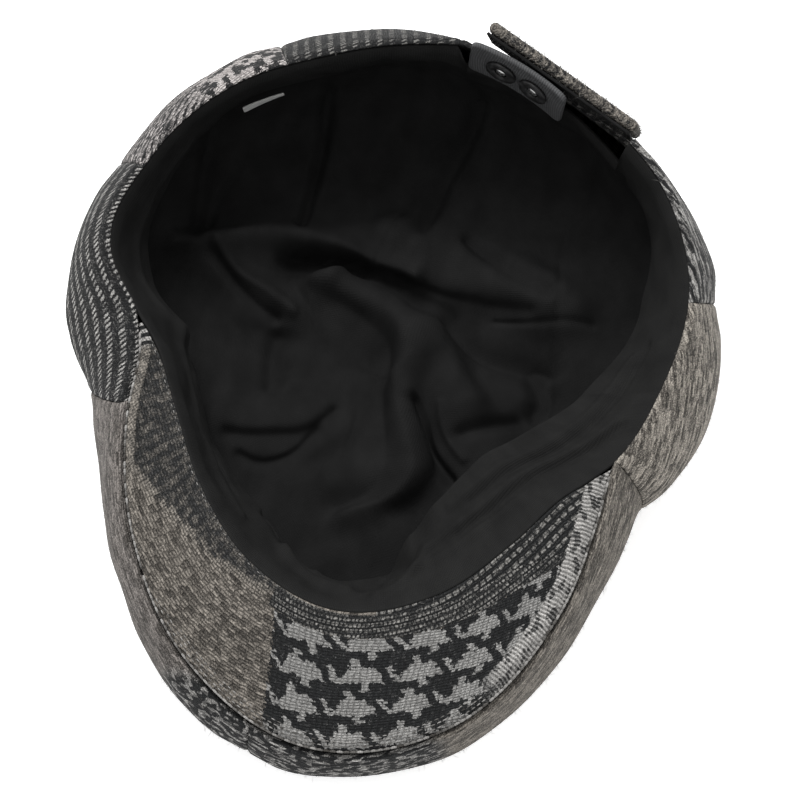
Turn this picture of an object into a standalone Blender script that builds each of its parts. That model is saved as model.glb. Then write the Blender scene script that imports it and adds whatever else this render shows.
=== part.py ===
"""A soft tweed flat cap with a stiff peak, lying on its crown with the head opening up.

Units are metres and +Z is up. The peak points to -Y and the adjusting strap is at the back, +Y.
The origin lies on the surface, under the middle of the cap's box. An azimuth is in degrees from
+X towards +Y about the middle of the head opening: the back is 90 and the front is 270.
"""
import math

import bmesh
import bpy
import numpy as np
from mathutils import Matrix, Vector

# Clearance between neighbouring pieces, and the corner rounding of straps, at most a share of
# their thickness
GAP = 0.0004
ROUNDING = 0.0007
ROUNDING_SHARE = 0.3

# Head opening, to the inner face of the crown's cloth, and the tilted plane of its rim
HEAD_RADIUS = 0.095
RIM_HEIGHT = 0.063
RIM_TILT = math.radians(13)

# Crown: bulge is how far its fullest line stands out past its top edge, and undercurve how far
# the cloth then runs back in to the flat patch that it lies on. Girth level is that line's height
# as a share of the edge's.
CROWN_WALL = 0.0024
BULGE = 0.025
UNDERCURVE = 0.042
GIRTH_LEVEL = 0.45
PEAK_SQUARENESS = 0.3

# Peak, hollowed along its middle, with a low ridge along its outer seam. Its ends are azimuths.
PEAK_REACH = 0.048
PEAK_THICKNESS = 0.003
PEAK_TROUGH = 0.008
TROUGH_LEVEL = 0.35
PEAK_RIDGE = 0.0015
RIDGE_INSET = 0.0025
RIDGE_WIDTH = 0.0018
PEAK_LIP = 0.001
PEAK_SEAM = 0.0005
PEAK_START = 0.25
PEAK_HALF = 0.5
PEAK_ACROSS = (0, 0.3, 0.6, 0.8, 0.9, 0.96, 1)
PEAK_LEFT_END = 197
PEAK_RIGHT_END = 340

# Lining and sweatband. Bowl levels are the lining's radii below its straight wall, as shares.
LINING_WALL = 0.001
LINING_SPLAY = 1.5
LINING_SQUARENESS = 2.6
BOWL_LEVELS = (0.99, 0.96, 0.90, 0.82, 0.73, 0.64, 0.55, 0.46, 0.37, 0.28, 0.19, 0.10)
FOLD_HEIGHT = 0.010
FOLD_WIDTH = 0.012
LINING_FLOOR = CROWN_WALL + GAP
BAND_WALL = 0.0014
BAND_HEIGHT = 0.030
BAND_LEAN = 60
TUCK = 0.0015
WALL_SHARE = 0.8
FOLDS_FROM = 0.4
FOLDS_OVER = 0.5

# Notch at the back, between two azimuths, and the strap that bridges it and dents the crown
NOTCH_FROM = 51
NOTCH_TO = 91
NOTCH_SIDE = 1.5
STRAP_LENGTH = 0.060
STRAP_WIDTH = 0.020
STRAP_THICKNESS = 0.0032
FACING_THICKNESS = 0.001
STRAP_AZIMUTH = 69
STRAP_LEAN = math.radians(18)
STRAP_SHIFT = 0.0012
STRAP_INSET = 0.0015
STRAP_DENT = 0.007
DENT_SPREAD = 40
NOTCH_DEPTH = STRAP_WIDTH * math.cos(STRAP_LEAN) + GAP

# Snap tab and its two press studs
TAB_LENGTH = 0.037
TAB_WIDTH = 0.020
TAB_THICKNESS = 0.002
TAB_BEND = 0.085
TAB_TURN = 4
TAB_CUTS = 8
STUD_SPACING = 0.0128
STUD_DIAMETER = 0.011
STUD_HOLE = 0.0046
STUD_THICKNESS = 0.0012
STUD_CHAMFER = 0.0004
STUD_RISE = 0.001
STUD_GAP = 0.0003

# Blank tape label at the sweatband's lower edge
LABEL_LENGTH = 0.015
LABEL_WIDTH = 0.004
LABEL_THICKNESS = 0.0006
LABEL_AZIMUTH = 132

# Horizontal sections of the cap, each a share of the named size in the second line:
# opening of HEAD_RADIUS, peak of PEAK_REACH, bulge of BULGE, lean of BAND_LEAN, inwards
COLUMNS = ("azimuth", "opening", "peak", "bulge", "lean")
ROWS = (
    (0, 0.965, 0.00, 0.55, 0.66),
    (20, 1.035, 0.00, 0.40, 0.50),
    (40, 1.04, 0.00, 0.46, 0.18),
    (60, 1.005, 0.00, 0.62, -0.04),
    (80, 1.00, 0.00, 0.62, -0.08),
    (100, 0.955, 0.00, 0.75, -0.24),
    (120, 0.945, 0.00, 0.86, -0.30),
    (140, 0.99, 0.00, 0.76, -0.26),
    (160, 1.015, 0.00, 0.60, -0.05),
    (180, 1.005, 0.00, 0.60, 0.20),
    (190, 0.89, 0.00, 0.86, 0.36),
    (200, 0.80, 0.13, 0.70, 0.28),
    (215, 0.775, 0.37, 0.38, 0.20),
    (235, 0.83, 0.61, 0.24, 0.34),
    (255, 0.92, 0.81, 0.22, 0.52),
    (275, 0.975, 0.93, 0.10, 0.56),
    (295, 0.93, 0.88, 0.03, 0.82),
    (315, 0.855, 0.61, 0.15, 0.95),
    (330, 0.84, 0.32, 0.27, 0.97),
    (343, 0.915, 0.00, 0.38, 0.92),
)
SECTION = dict(zip(COLUMNS, np.array(ROWS, dtype=float).T))

# Main folds of the lining: ends in shares of HEAD_RADIUS, then shares of FOLD_WIDTH and FOLD_HEIGHT
FOLD_COLUMNS = ("x0", "y0", "x1", "y1", "width", "height")
FOLDS = (
    (-0.74, 0.30, -0.16, 0.53, 0.8, 0.8),
    (-0.16, 0.53, 0.56, 0.43, 0.8, 0.9),
    (-0.46, 0.80, -0.47, 0.50, 0.5, 0.4),
    (-0.31, 0.27, 0.04, 0.15, 0.8, 0.9),
    (0.04, 0.15, 0.10, -0.32, 0.8, 0.9),
    (-0.70, 0.25, -0.40, 0.15, 0.6, 0.6),
    (-0.54, -0.38, -0.20, -0.22, 0.7, 0.6),
    (0.46, -0.30, 0.10, 0.10, 0.8, 0.7),
)

# Degrees between sections, and the sides of the round studs
SPAN = 5
ROUND_SIDES = 20
COLLECTION = "flat_cap"


def clear_scene():
    """Remove every object, so that the script starts from nothing."""
    for thing in list(bpy.data.objects):
        bpy.data.objects.remove(thing, do_unlink=True)


def collection(name):
    """The collection of that name, made and linked where it isn't there yet."""
    group = bpy.data.collections.get(name) or bpy.data.collections.new(name)
    if group.name not in bpy.context.scene.collection.children:
        bpy.context.scene.collection.children.link(group)
    return group


def material(name, colour, roughness, metallic=0.0):
    """A Principled material with one colour, roughness and metallic value."""
    paint = bpy.data.materials.new(name)
    paint.use_nodes = True
    shader = paint.node_tree.nodes["Principled BSDF"]
    shader.inputs["Base Color"].default_value = (*colour, 1.0)
    shader.inputs["Roughness"].default_value = roughness
    shader.inputs["Metallic"].default_value = metallic
    paint.diffuse_color = (*colour, 1.0)
    return paint


def along(column, azimuth):
    """A table column at any azimuth: smooth cubic pieces through its rows, closed into a ring."""
    ring = SECTION["azimuth"]
    values = SECTION[column]
    knots = np.concatenate((ring[-2:] - 360, ring, ring[:3] + 360))
    levels = np.concatenate((values[-2:], values, values[:3]))
    slopes = np.gradient(levels, knots)
    turned = np.mod(azimuth, 360)
    at = np.searchsorted(knots, turned, side="right") - 1
    width = knots[at + 1] - knots[at]
    t = (turned - knots[at]) / width
    rise = levels[at + 1] - levels[at]
    bend = (1 - t) * (slopes[at] * width - rise) - t * (slopes[at + 1] * width - rise)
    return levels[at] + t * rise + t * (1 - t) * bend


def smooth_step(share):
    """0 below a share of 0, 1 above a share of 1, and an even curve between."""
    held = np.clip(share, 0, 1)
    return held * held * (3 - 2 * held)


def ring_of_azimuths():
    """Azimuths of the sections: an even ring, with the notch's corners and the peak's ends."""
    corners = (NOTCH_FROM, NOTCH_FROM + NOTCH_SIDE, NOTCH_TO - NOTCH_SIDE, NOTCH_TO,
               PEAK_LEFT_END, PEAK_RIGHT_END)
    return np.unique(np.concatenate((np.arange(0, 360, SPAN), corners)).astype(float))


def around(azimuth, radius, height):
    """Points at an azimuth, radius and height."""
    angle = np.radians(azimuth)
    return np.stack(np.broadcast_arrays(radius * np.cos(angle), radius * np.sin(angle), height), -1)


def opening_radius(azimuth):
    """Radius of the head opening."""
    return HEAD_RADIUS * along("opening", azimuth)


def peak_share(azimuth):
    """How far the peak reaches there, as a share of its full reach, and 0 where there is none."""
    return np.maximum(along("peak", azimuth), 0)


def rim_plane(azimuth, radius):
    """Height of the tilted plane of the rim."""
    return RIM_HEIGHT + math.tan(RIM_TILT) * radius * np.sin(np.radians(azimuth))


def peak_height(azimuth, radius, share):
    """Height of the peak: the rim's plane, hollowed along its middle and raised at its sides."""
    sideways = radius * np.cos(np.radians(azimuth)) / HEAD_RADIUS
    return rim_plane(azimuth, radius) + PEAK_TROUGH * share * (sideways ** 2 - TROUGH_LEVEL)


def notch(azimuth):
    """1 across the notch at the back, falling to 0 over its two sides."""
    rising = smooth_step((azimuth - NOTCH_FROM) / NOTCH_SIDE)
    falling = smooth_step((NOTCH_TO - azimuth) / NOTCH_SIDE)
    return rising * falling


def strap_dent(azimuth):
    """1 under the middle of the strap, which presses the crown in, and 0 well beside it."""
    turn = (azimuth - STRAP_AZIMUTH) / DENT_SPREAD
    return smooth_step(1 - np.abs(turn))


def crown_surface(azimuth, upper_rows=7, lower_rows=5, floor_rows=3):
    """Outer face of the crown, from its top edge out to the girth and back in to the flat patch.

    Above the girth the radius falls off with the square of the height, more squarely at the peak,
    and below it each section is a quarter of an ellipse.
    """
    share = peak_share(azimuth)
    edge = opening_radius(azimuth) + PEAK_REACH * share + CROWN_WALL
    lip = PEAK_LIP * smooth_step(share / PEAK_START)
    edge_height = peak_height(azimuth, edge, share) - lip
    girth_height = GIRTH_LEVEL * edge_height
    bulge = BULGE * along("bulge", azimuth)
    power = 1 - PEAK_SQUARENESS * smooth_step(share / PEAK_HALF)
    top = 1 - NOTCH_DEPTH * notch(azimuth) / (edge_height - girth_height)
    rows = []
    for level in np.linspace(1, 0, upper_rows):
        rise = top * level
        pressed = STRAP_DENT * strap_dent(azimuth) * 4 * rise * (1 - rise)
        radius = edge + bulge * (1 - rise ** 2) ** power - pressed
        rows.append(around(azimuth, radius, girth_height + (edge_height - girth_height) * rise))
    for turn in np.linspace(0, math.pi / 2, lower_rows + 1)[1:]:
        radius = edge + bulge - UNDERCURVE * (1 - math.cos(turn))
        rows.append(around(azimuth, radius, girth_height * (1 - math.sin(turn))))
    patch = edge + bulge - UNDERCURVE
    for inward in np.linspace(1, 0, floor_rows + 1)[1:-1]:
        rows.append(around(azimuth, patch * inward, 0.0))
    return np.array(rows)


def fold_lift(x, y):
    """Height of the lining's folds: a rounded ridge along each line of the table."""
    lift = np.zeros_like(x)
    for row in FOLDS:
        fold = dict(zip(FOLD_COLUMNS, row))
        start = np.array((fold["x0"], fold["y0"])) * HEAD_RADIUS
        run = np.array((fold["x1"], fold["y1"])) * HEAD_RADIUS - start
        share = ((x - start[0]) * run[0] + (y - start[1]) * run[1]) / (run @ run)
        held = np.clip(share, 0, 1)
        away = np.hypot(x - start[0] - held * run[0], y - start[1] - held * run[1])
        ridge = np.exp(-(away / (FOLD_WIDTH * fold["width"])) ** 2)
        lift = np.maximum(lift, FOLD_HEIGHT * fold["height"] * ridge)
    return lift


def lining_surface(azimuth, wall_rows=3):
    """Outer face of the lining: straight behind the sweatband, then a squarish bowl.

    The bowl's sections are superellipses, and its lower half is raised along the folds.
    """
    top_radius = opening_radius(azimuth) - GAP
    top_height = rim_plane(azimuth, top_radius) - TUCK
    drop = np.minimum(BAND_HEIGHT + 3 * TUCK, WALL_SHARE * (top_height - LINING_FLOOR))
    lean = np.radians(np.minimum(along("lean", azimuth) * BAND_LEAN, 0) - LINING_SPLAY)
    cut = NOTCH_DEPTH * notch(azimuth) / drop
    rows = []
    for level in np.linspace(0, 1, wall_rows):
        down = cut + (1 - cut) * level
        radius = top_radius - np.tan(lean) * drop * down
        rows.append(around(azimuth, radius, top_height - drop * down))
    elbow_radius = top_radius - np.tan(lean) * drop
    elbow_height = top_height - drop
    for level in BOWL_LEVELS:
        depth = (1 - level ** LINING_SQUARENESS) ** (1 / LINING_SQUARENESS)
        height = elbow_height - (elbow_height - LINING_FLOOR) * depth
        points = around(azimuth, elbow_radius * level, height)
        points[:, 2] += fold_lift(points[:, 0], points[:, 1]) * smooth_step((depth - FOLDS_FROM) / FOLDS_OVER)
        rows.append(points)
    return np.array(rows)


def band_surface(azimuth, rows=4):
    """Outer face of the sweatband: a strip that leans in or out by the table's angle."""
    radius = opening_radius(azimuth) - 2 * GAP - LINING_WALL
    height = rim_plane(azimuth, radius) - TUCK
    lean = np.radians(along("lean", azimuth) * BAND_LEAN)
    cut = NOTCH_DEPTH * notch(azimuth)
    steps = []
    for level in np.linspace(0, 1, rows):
        down = cut + (BAND_HEIGHT - cut) * level
        steps.append(around(azimuth, radius - np.sin(lean) * down, height - np.cos(lean) * down))
    return np.array(steps)


def peak_surface(azimuth):
    """Upper face of the peak, from the sweatband out to the ridge along its outer seam."""
    share = peak_share(azimuth)
    inner = opening_radius(azimuth) + PEAK_THICKNESS * math.tan(RIM_TILT) + PEAK_SEAM
    width = opening_radius(azimuth) + PEAK_REACH * share - GAP - inner
    rows = []
    for across in PEAK_ACROSS:
        radius = inner + width * across
        from_edge = width * (1 - across)
        ridge = PEAK_RIDGE * np.exp(-((from_edge - RIDGE_INSET) / RIDGE_WIDTH) ** 2)
        rows.append(around(azimuth, radius, peak_height(azimuth, radius, share * across) + ridge))
    return np.array(rows)


def loft(name, rows, paint, wall, closed=True, centre=None):
    """A wall lofted through rows of points: an open surface with Solidify.

    The rows are its outer or upper face. A centre closes the last row with a fan.
    """
    count, columns = rows.shape[:2]
    spans = columns if closed else columns - 1
    vertices = [tuple(point) for point in rows.reshape(-1, 3)]
    faces = []
    for row in range(count - 1):
        for column in range(spans):
            beside = (column + 1) % columns
            above, below = row * columns, (row + 1) * columns
            faces.append((above + column, below + column, below + beside, above + beside))
    if centre is not None:
        vertices.append(tuple(centre))
        last = (count - 1) * columns
        faces += [(last + k, len(vertices) - 1, last + (k + 1) % columns) for k in range(columns)]
    mesh = bpy.data.meshes.new(name)
    mesh.from_pydata(vertices, [], faces)
    mesh.shade_smooth()
    piece = add_piece(name, mesh, paint)
    solid = piece.modifiers.new("wall", "SOLIDIFY")
    solid.thickness = wall
    solid.offset = -1
    return piece


def add_piece(name, mesh, paint):
    """An object of the cap, with one material, on the cap's empty."""
    piece = bpy.data.objects.new(name, mesh)
    collection(COLLECTION).objects.link(piece)
    mesh.materials.append(paint)
    piece.parent = bpy.data.objects[COLLECTION + "_middle"]
    return piece


def slab(name, frame, size, paint, bend=None):
    """A strip of cloth in its own frame, length by width by thickness, with soft edges.

    With a bend it is rolled about that radius, so that its ends turn towards its inner face.
    """
    bpy.ops.mesh.primitive_cube_add(size=1)
    cube = bpy.context.object
    mesh = cube.data
    bpy.data.objects.remove(cube)
    mesh.name = name
    mesh.transform(Matrix.Diagonal((*size, 1.0)))
    if bend is not None:
        roll(mesh, bend)
    piece = add_piece(name, mesh, paint)
    piece.matrix_local = frame
    soft = piece.modifiers.new("soft edge", "BEVEL")
    soft.width = min(ROUNDING, ROUNDING_SHARE * min(size))
    soft.segments = 2
    soft.limit_method = "ANGLE"
    return piece


def roll(mesh, radius):
    """Cut a strip across its length and roll it about an axis that far behind its inner side."""
    work = bmesh.new()
    work.from_mesh(mesh)
    lengthwise = [edge for edge in work.edges if abs(edge.verts[0].co.x - edge.verts[1].co.x) > 0]
    bmesh.ops.subdivide_edges(work, edges=lengthwise, cuts=TAB_CUTS, use_grid_fill=True)
    for vertex in work.verts:
        vertex.co = rolled(vertex.co, radius)
    work.to_mesh(mesh)
    work.free()


def rolled(point, radius):
    """A point of a flat strip, moved to where it lies once the strip is rolled."""
    angle = point.x / radius
    reach = radius + point.z
    return Vector((reach * math.sin(angle), point.y, reach * math.cos(angle) - radius))


def upright_frame(azimuth, lean, shift, distance, height):
    """Frame of a strip across the notch: X along it, Y up its face, Z out of the cap.

    It faces the azimuth and runs parallel to the rim. Its middle is shift along it, at that height
    and at that distance out along its normal, and its face leans out towards the bottom by lean.
    """
    angle = math.radians(azimuth)
    level = Vector((math.cos(angle), math.sin(angle), 0))
    sideways = Vector((-math.sin(angle), math.cos(angle), 0))
    along_strip = (sideways + Vector((0, 0, math.tan(RIM_TILT) * math.cos(angle)))).normalized()
    leaning = level * math.cos(lean) + Vector((0, 0, math.sin(lean)))
    upward = leaning.cross(along_strip).normalized()
    outward = along_strip.cross(upward)
    reach = (distance - height * outward.z) / outward.dot(level)
    middle = level * reach + Vector((0, 0, height)) + along_strip * shift
    axes = Matrix((along_strip, upward, outward)).transposed()
    return Matrix.Translation(middle) @ axes.to_4x4()


def strap_top():
    """Height of the middle of the strap's top edge: that of the rim behind it."""
    return float(rim_plane(STRAP_AZIMUTH, opening_radius(STRAP_AZIMUTH) + CROWN_WALL))


def strap_frame(outset):
    """Frame of a layer of the strap, whose middle is that far outside the facing's inner face.

    The facing's top edge is a chord of the rim, set in from it across the notch.
    """
    chord = float(opening_radius(STRAP_AZIMUTH)) - STRAP_INSET
    outward = upright_frame(STRAP_AZIMUTH, STRAP_LEAN, 0, 0, 0).to_3x3().col[2]
    angle = math.radians(STRAP_AZIMUTH)
    edge = Vector((chord * math.cos(angle), chord * math.sin(angle), strap_top()))
    height = strap_top() - STRAP_WIDTH * math.cos(STRAP_LEAN) / 2
    distance = edge.dot(outward) + outset
    return upright_frame(STRAP_AZIMUTH, STRAP_LEAN, STRAP_SHIFT, distance, height)


def add_strap(tweed, cotton):
    """The tweed strap and its black facing, which run across the notch."""
    inner = strap_frame(FACING_THICKNESS / 2)
    outer = strap_frame(FACING_THICKNESS + GAP + STRAP_THICKNESS / 2)
    facing_size = (STRAP_LENGTH - 2 * ROUNDING, STRAP_WIDTH, FACING_THICKNESS)
    slab("strap_facing", inner, facing_size, cotton)
    slab("back_strap", outer, (STRAP_LENGTH, STRAP_WIDTH, STRAP_THICKNESS), tweed)


def tab_frame():
    """Frame of the snap tab: upright, its outer end beside the notch's left side.

    It lies just inside the strap's facing where the two come nearest.
    """
    facing = strap_frame(0)
    normal = facing.to_3x3().col[2]
    limit = facing.translation.dot(normal) - GAP
    azimuth = STRAP_AZIMUTH + TAB_TURN
    corner = NOTCH_TO - NOTCH_SIDE
    side = float(opening_radius(corner)) * math.sin(math.radians(corner - azimuth))
    shift = side - TAB_BEND * math.sin(TAB_LENGTH / 2 / TAB_BEND) - GAP
    height = strap_top() - TAB_WIDTH / 2
    flat = upright_frame(azimuth, 0, shift, 0, height)
    outward = flat.to_3x3().col[2]
    lengthwise = TAB_LENGTH * np.linspace(-0.5, 0.5, TAB_CUTS + 2)
    outer = [flat @ rolled(Vector((x, y, TAB_THICKNESS / 2)), TAB_BEND)
             for x in lengthwise for y in (-TAB_WIDTH / 2, TAB_WIDTH / 2)]
    free = min((limit - point.dot(normal)) / outward.dot(normal) for point in outer)
    return upright_frame(azimuth, 0, shift, free, height)


def turned(name, profile, frame, paint):
    """A round piece: a closed profile of radius and height, turned with Screw about Z."""
    mesh = bpy.data.meshes.new(name)
    points = [(radius, 0, height) for radius, height in profile]
    edges = [(k, (k + 1) % len(points)) for k in range(len(points))]
    mesh.from_pydata(points, edges, [])
    piece = add_piece(name, mesh, paint)
    piece.matrix_local = frame
    screw = piece.modifiers.new("turn", "SCREW")
    screw.steps = ROUND_SIDES
    screw.render_steps = ROUND_SIDES
    screw.use_merge_vertices = True
    screw.merge_threshold = 0.00001
    return piece


def dome(name, radius, height, frame, paint):
    """A low dome: a sphere's upper half on a flat base, flattened to its height."""
    bpy.ops.mesh.primitive_uv_sphere_add(segments=ROUND_SIDES, ring_count=8, radius=radius)
    ball = bpy.context.object
    mesh = ball.data
    bpy.data.objects.remove(ball)
    mesh.name = name
    for vertex in mesh.vertices:
        vertex.co.z = max(vertex.co.z, 0) * height / radius
    piece = add_piece(name, mesh, paint)
    piece.matrix_local = frame
    weld = piece.modifiers.new("close base", "WELD")
    weld.merge_threshold = 0.00001
    return piece


def add_studs(frame, enamel, steel):
    """Two press studs on the tab's inner face: a black ring round a bright steel middle."""
    outer, inner, thick = STUD_DIAMETER / 2, STUD_HOLE / 2, STUD_THICKNESS
    hollow = outer ** 2 / (2 * TAB_BEND)
    seat = TAB_THICKNESS / 2 + STUD_GAP + hollow
    soft = STUD_CHAMFER
    profile = ((inner, 0), (inner, thick - soft), (inner + soft, thick),
               (outer - 2 * soft, thick), (outer, thick - 2 * soft), (outer, 0))
    for name, side in (("left", 1), ("right", -1)):
        turn = side * STUD_SPACING / 2 / TAB_BEND
        foot = rolled(Vector((side * STUD_SPACING / 2, 0, -seat)), TAB_BEND)
        place = frame @ Matrix.Translation(foot) @ Matrix.Rotation(math.pi + turn, 4, "Y")
        turned("snap_ring_" + name, profile, place, enamel)
        dome("snap_centre_" + name, inner - STUD_GAP, STUD_RISE, place, steel)


def add_label(tape):
    """A blank sliver of tape that hangs inside the sweatband, at its lower edge."""
    beside = LABEL_AZIMUTH + SPAN * np.arange(-1, 2)
    before, here, after = (Vector(point) for point in band_surface(beside)[-1])
    top = Vector(band_surface(np.array((LABEL_AZIMUTH,)))[0, 0])
    tangent = (after - before).normalized()
    outward = (top - here).cross(tangent).normalized()
    if outward.dot(here) < 0:
        outward.negate()
    inset = BAND_WALL + 2 * GAP + LABEL_THICKNESS / 2
    middle = here + (top - here).normalized() * LABEL_WIDTH / 2 - outward * inset
    axes = Matrix((tangent, outward.cross(tangent), outward)).transposed()
    frame = Matrix.Translation(middle) @ axes.to_4x4()
    slab("label_tab", frame, (LABEL_LENGTH, LABEL_WIDTH, LABEL_THICKNESS), tape)


def centre_on_origin(middle):
    """Move the cap's empty so that the middle of the cap's box is over the origin."""
    bpy.context.view_layer.update()
    graph = bpy.context.evaluated_depsgraph_get()
    corners = []
    for piece in collection(COLLECTION).objects:
        if piece.type == "MESH":
            solid = piece.evaluated_get(graph)
            corners += [solid.matrix_world @ vertex.co for vertex in solid.data.vertices]
    box = np.array(corners)
    low, high = box.min(axis=0), box.max(axis=0)
    middle.location = (-(low[0] + high[0]) / 2, -(low[1] + high[1]) / 2, 0)


def build():
    """Make every piece of the cap."""
    clear_scene()
    middle = bpy.data.objects.new(COLLECTION + "_middle", None)
    collection(COLLECTION).objects.link(middle)
    tweed = material("tweed", (0.10, 0.10, 0.10), 0.95)
    peak_cloth = material("peak cloth", (0.13, 0.12, 0.11), 0.95)
    strap_cloth = material("strap cloth", (0.11, 0.11, 0.11), 0.95)
    cotton = material("black cotton", (0.012, 0.012, 0.012), 0.85)
    band_cloth = material("black band cloth", (0.018, 0.018, 0.018), 0.8)
    facing_cloth = material("black facing", (0.02, 0.02, 0.02), 0.85)
    tab_cloth = material("black tab cloth", (0.03, 0.03, 0.032), 0.8)
    enamel = material("black enamel", (0.01, 0.01, 0.01), 0.35)
    steel = material("bright steel", (0.75, 0.75, 0.75), 0.25, 1.0)
    tape = material("grey tape", (0.35, 0.35, 0.35), 0.7)

    azimuth = ring_of_azimuths()
    loft("crown", crown_surface(azimuth), tweed, CROWN_WALL, centre=(0, 0, 0))
    lining_middle = (0, 0, LINING_FLOOR + float(fold_lift(np.zeros(1), np.zeros(1))[0]))
    loft("lining", lining_surface(azimuth), cotton, LINING_WALL, centre=lining_middle)
    loft("sweatband", band_surface(azimuth), band_cloth, BAND_WALL)
    peak_azimuth = azimuth[(azimuth >= PEAK_LEFT_END) & (azimuth <= PEAK_RIGHT_END)]
    loft("peak", peak_surface(peak_azimuth), peak_cloth, PEAK_THICKNESS, closed=False)
    add_strap(strap_cloth, facing_cloth)
    frame = tab_frame()
    slab("snap_tab", frame, (TAB_LENGTH, TAB_WIDTH, TAB_THICKNESS), tab_cloth, bend=TAB_BEND)
    add_studs(frame, enamel, steel)
    add_label(tape)
    centre_on_origin(middle)


build()
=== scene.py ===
"""Dressed model of a soft tweed flat cap that lies on its crown, with the head opening up.

Lengths are metres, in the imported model's frame. The peak points to -Y and the strap is at the
back, +Y. An azimuth is in degrees from +X towards +Y about the middle of the head opening.
"""

import math

import bmesh
import bpy
import numpy as np
from mathutils import Matrix, Vector


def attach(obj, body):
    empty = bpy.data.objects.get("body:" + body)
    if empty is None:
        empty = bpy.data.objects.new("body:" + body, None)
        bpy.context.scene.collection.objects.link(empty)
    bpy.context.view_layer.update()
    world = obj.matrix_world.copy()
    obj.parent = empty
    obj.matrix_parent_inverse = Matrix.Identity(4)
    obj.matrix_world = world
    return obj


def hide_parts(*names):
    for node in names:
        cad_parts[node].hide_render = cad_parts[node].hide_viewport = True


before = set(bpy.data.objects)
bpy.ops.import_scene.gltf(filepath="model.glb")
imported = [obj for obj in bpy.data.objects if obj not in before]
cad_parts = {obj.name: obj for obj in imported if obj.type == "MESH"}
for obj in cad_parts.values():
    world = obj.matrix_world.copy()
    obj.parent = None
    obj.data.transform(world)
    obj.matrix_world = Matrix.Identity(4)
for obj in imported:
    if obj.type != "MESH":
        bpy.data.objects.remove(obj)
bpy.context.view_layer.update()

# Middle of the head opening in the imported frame
MIDDLE = np.array((0.0023317, 0.0146732, 0.0))

# Sizes that the solids share with this script
GAP = 0.0004
HEAD_RADIUS = 0.095
RIM_HEIGHT = 0.063
RIM_TILT = math.radians(13)
CROWN_WALL = 0.0024
BULGE = 0.025
UNDERCURVE = 0.042
GIRTH_LEVEL = 0.45
PEAK_SQUARENESS = 0.3
PEAK_REACH = 0.048
PEAK_THICKNESS = 0.003
PEAK_TROUGH = 0.008
TROUGH_LEVEL = 0.35
PEAK_RIDGE = 0.0015
RIDGE_INSET = 0.0025
RIDGE_WIDTH = 0.0018
PEAK_LIP = 0.001
PEAK_SEAM = 0.0005
PEAK_START = 0.25
PEAK_HALF = 0.5
LINING_WALL = 0.001
LINING_SPLAY = 1.5
LINING_SQUARENESS = 2.6
FOLD_HEIGHT = 0.010
FOLD_WIDTH = 0.012
LINING_FLOOR = CROWN_WALL + GAP
BAND_WALL = 0.0014
BAND_HEIGHT = 0.030
BAND_LEAN = 60
TUCK = 0.0015
LINING_DROP = BAND_HEIGHT + 3 * TUCK
WALL_SHARE = 0.8
FOLDS_FROM = 0.4
FOLDS_OVER = 0.5
NOTCH_FROM = 51
NOTCH_TO = 91
NOTCH_SIDE = 1.5
STRAP_LENGTH = 0.060
STRAP_WIDTH = 0.020
STRAP_THICKNESS = 0.0032
STRAP_PUFF = 0.0008
FACING_THICKNESS = 0.001
FACING_INSET = 0.0014
STRAP_AZIMUTH = 69
STRAP_LEAN = math.radians(18)
STRAP_SHIFT = 0.0012
STRAP_INSET = 0.0015
STRAP_DENT = 0.007
STRAP_CORNER = 0.0015
DENT_SPREAD = 40
NOTCH_DEPTH = STRAP_WIDTH * math.cos(STRAP_LEAN) + GAP
TAB_LENGTH = 0.037
TAB_WIDTH = 0.020
TAB_THICKNESS = 0.002
TAB_BEND = 0.085
TAB_TURN = 4
TAB_CUTS = 8
TAB_CORNER = 0.003
STUD_SPACING = 0.0128
STUD_DIAMETER = 0.011
STUD_HOLE = 0.0046
STUD_THICKNESS = 0.0012
STUD_RISE = 0.001
STUD_GAP = 0.0003
LABEL_LENGTH = 0.015
LABEL_WIDTH = 0.004
LABEL_THICKNESS = 0.0006
LABEL_AZIMUTH = 132
LABEL_TILT = math.radians(18)
LABEL_CLEARANCE = 0.0005
LABEL_BEND = 0.09
LABEL_STEP = 5
LABEL_CORNER = 0.0008
LABEL_TAPER = 0.6

# Horizontal sections of the cap, each a share of the named size in the second line:
# opening of HEAD_RADIUS, peak of PEAK_REACH, bulge of BULGE, lean of BAND_LEAN, inwards
COLUMNS = ("azimuth", "opening", "peak", "bulge", "lean")
ROWS = (
    (0, 0.965, 0.00, 0.55, 0.66),
    (20, 1.035, 0.00, 0.40, 0.50),
    (40, 1.04, 0.00, 0.46, 0.18),
    (60, 1.005, 0.00, 0.62, -0.04),
    (80, 1.00, 0.00, 0.62, -0.08),
    (100, 0.955, 0.00, 0.75, -0.24),
    (120, 0.945, 0.00, 0.86, -0.30),
    (140, 0.99, 0.00, 0.76, -0.26),
    (160, 1.015, 0.00, 0.60, -0.05),
    (180, 1.005, 0.00, 0.60, 0.20),
    (190, 0.89, 0.00, 0.86, 0.36),
    (200, 0.80, 0.13, 0.70, 0.28),
    (215, 0.775, 0.37, 0.38, 0.20),
    (235, 0.83, 0.61, 0.24, 0.34),
    (255, 0.92, 0.81, 0.22, 0.52),
    (275, 0.975, 0.93, 0.10, 0.56),
    (295, 0.93, 0.88, 0.03, 0.82),
    (315, 0.855, 0.61, 0.15, 0.95),
    (330, 0.84, 0.32, 0.27, 0.97),
    (343, 0.915, 0.00, 0.38, 0.92),
)
SECTION = dict(zip(COLUMNS, np.array(ROWS, dtype=float).T))

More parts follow.
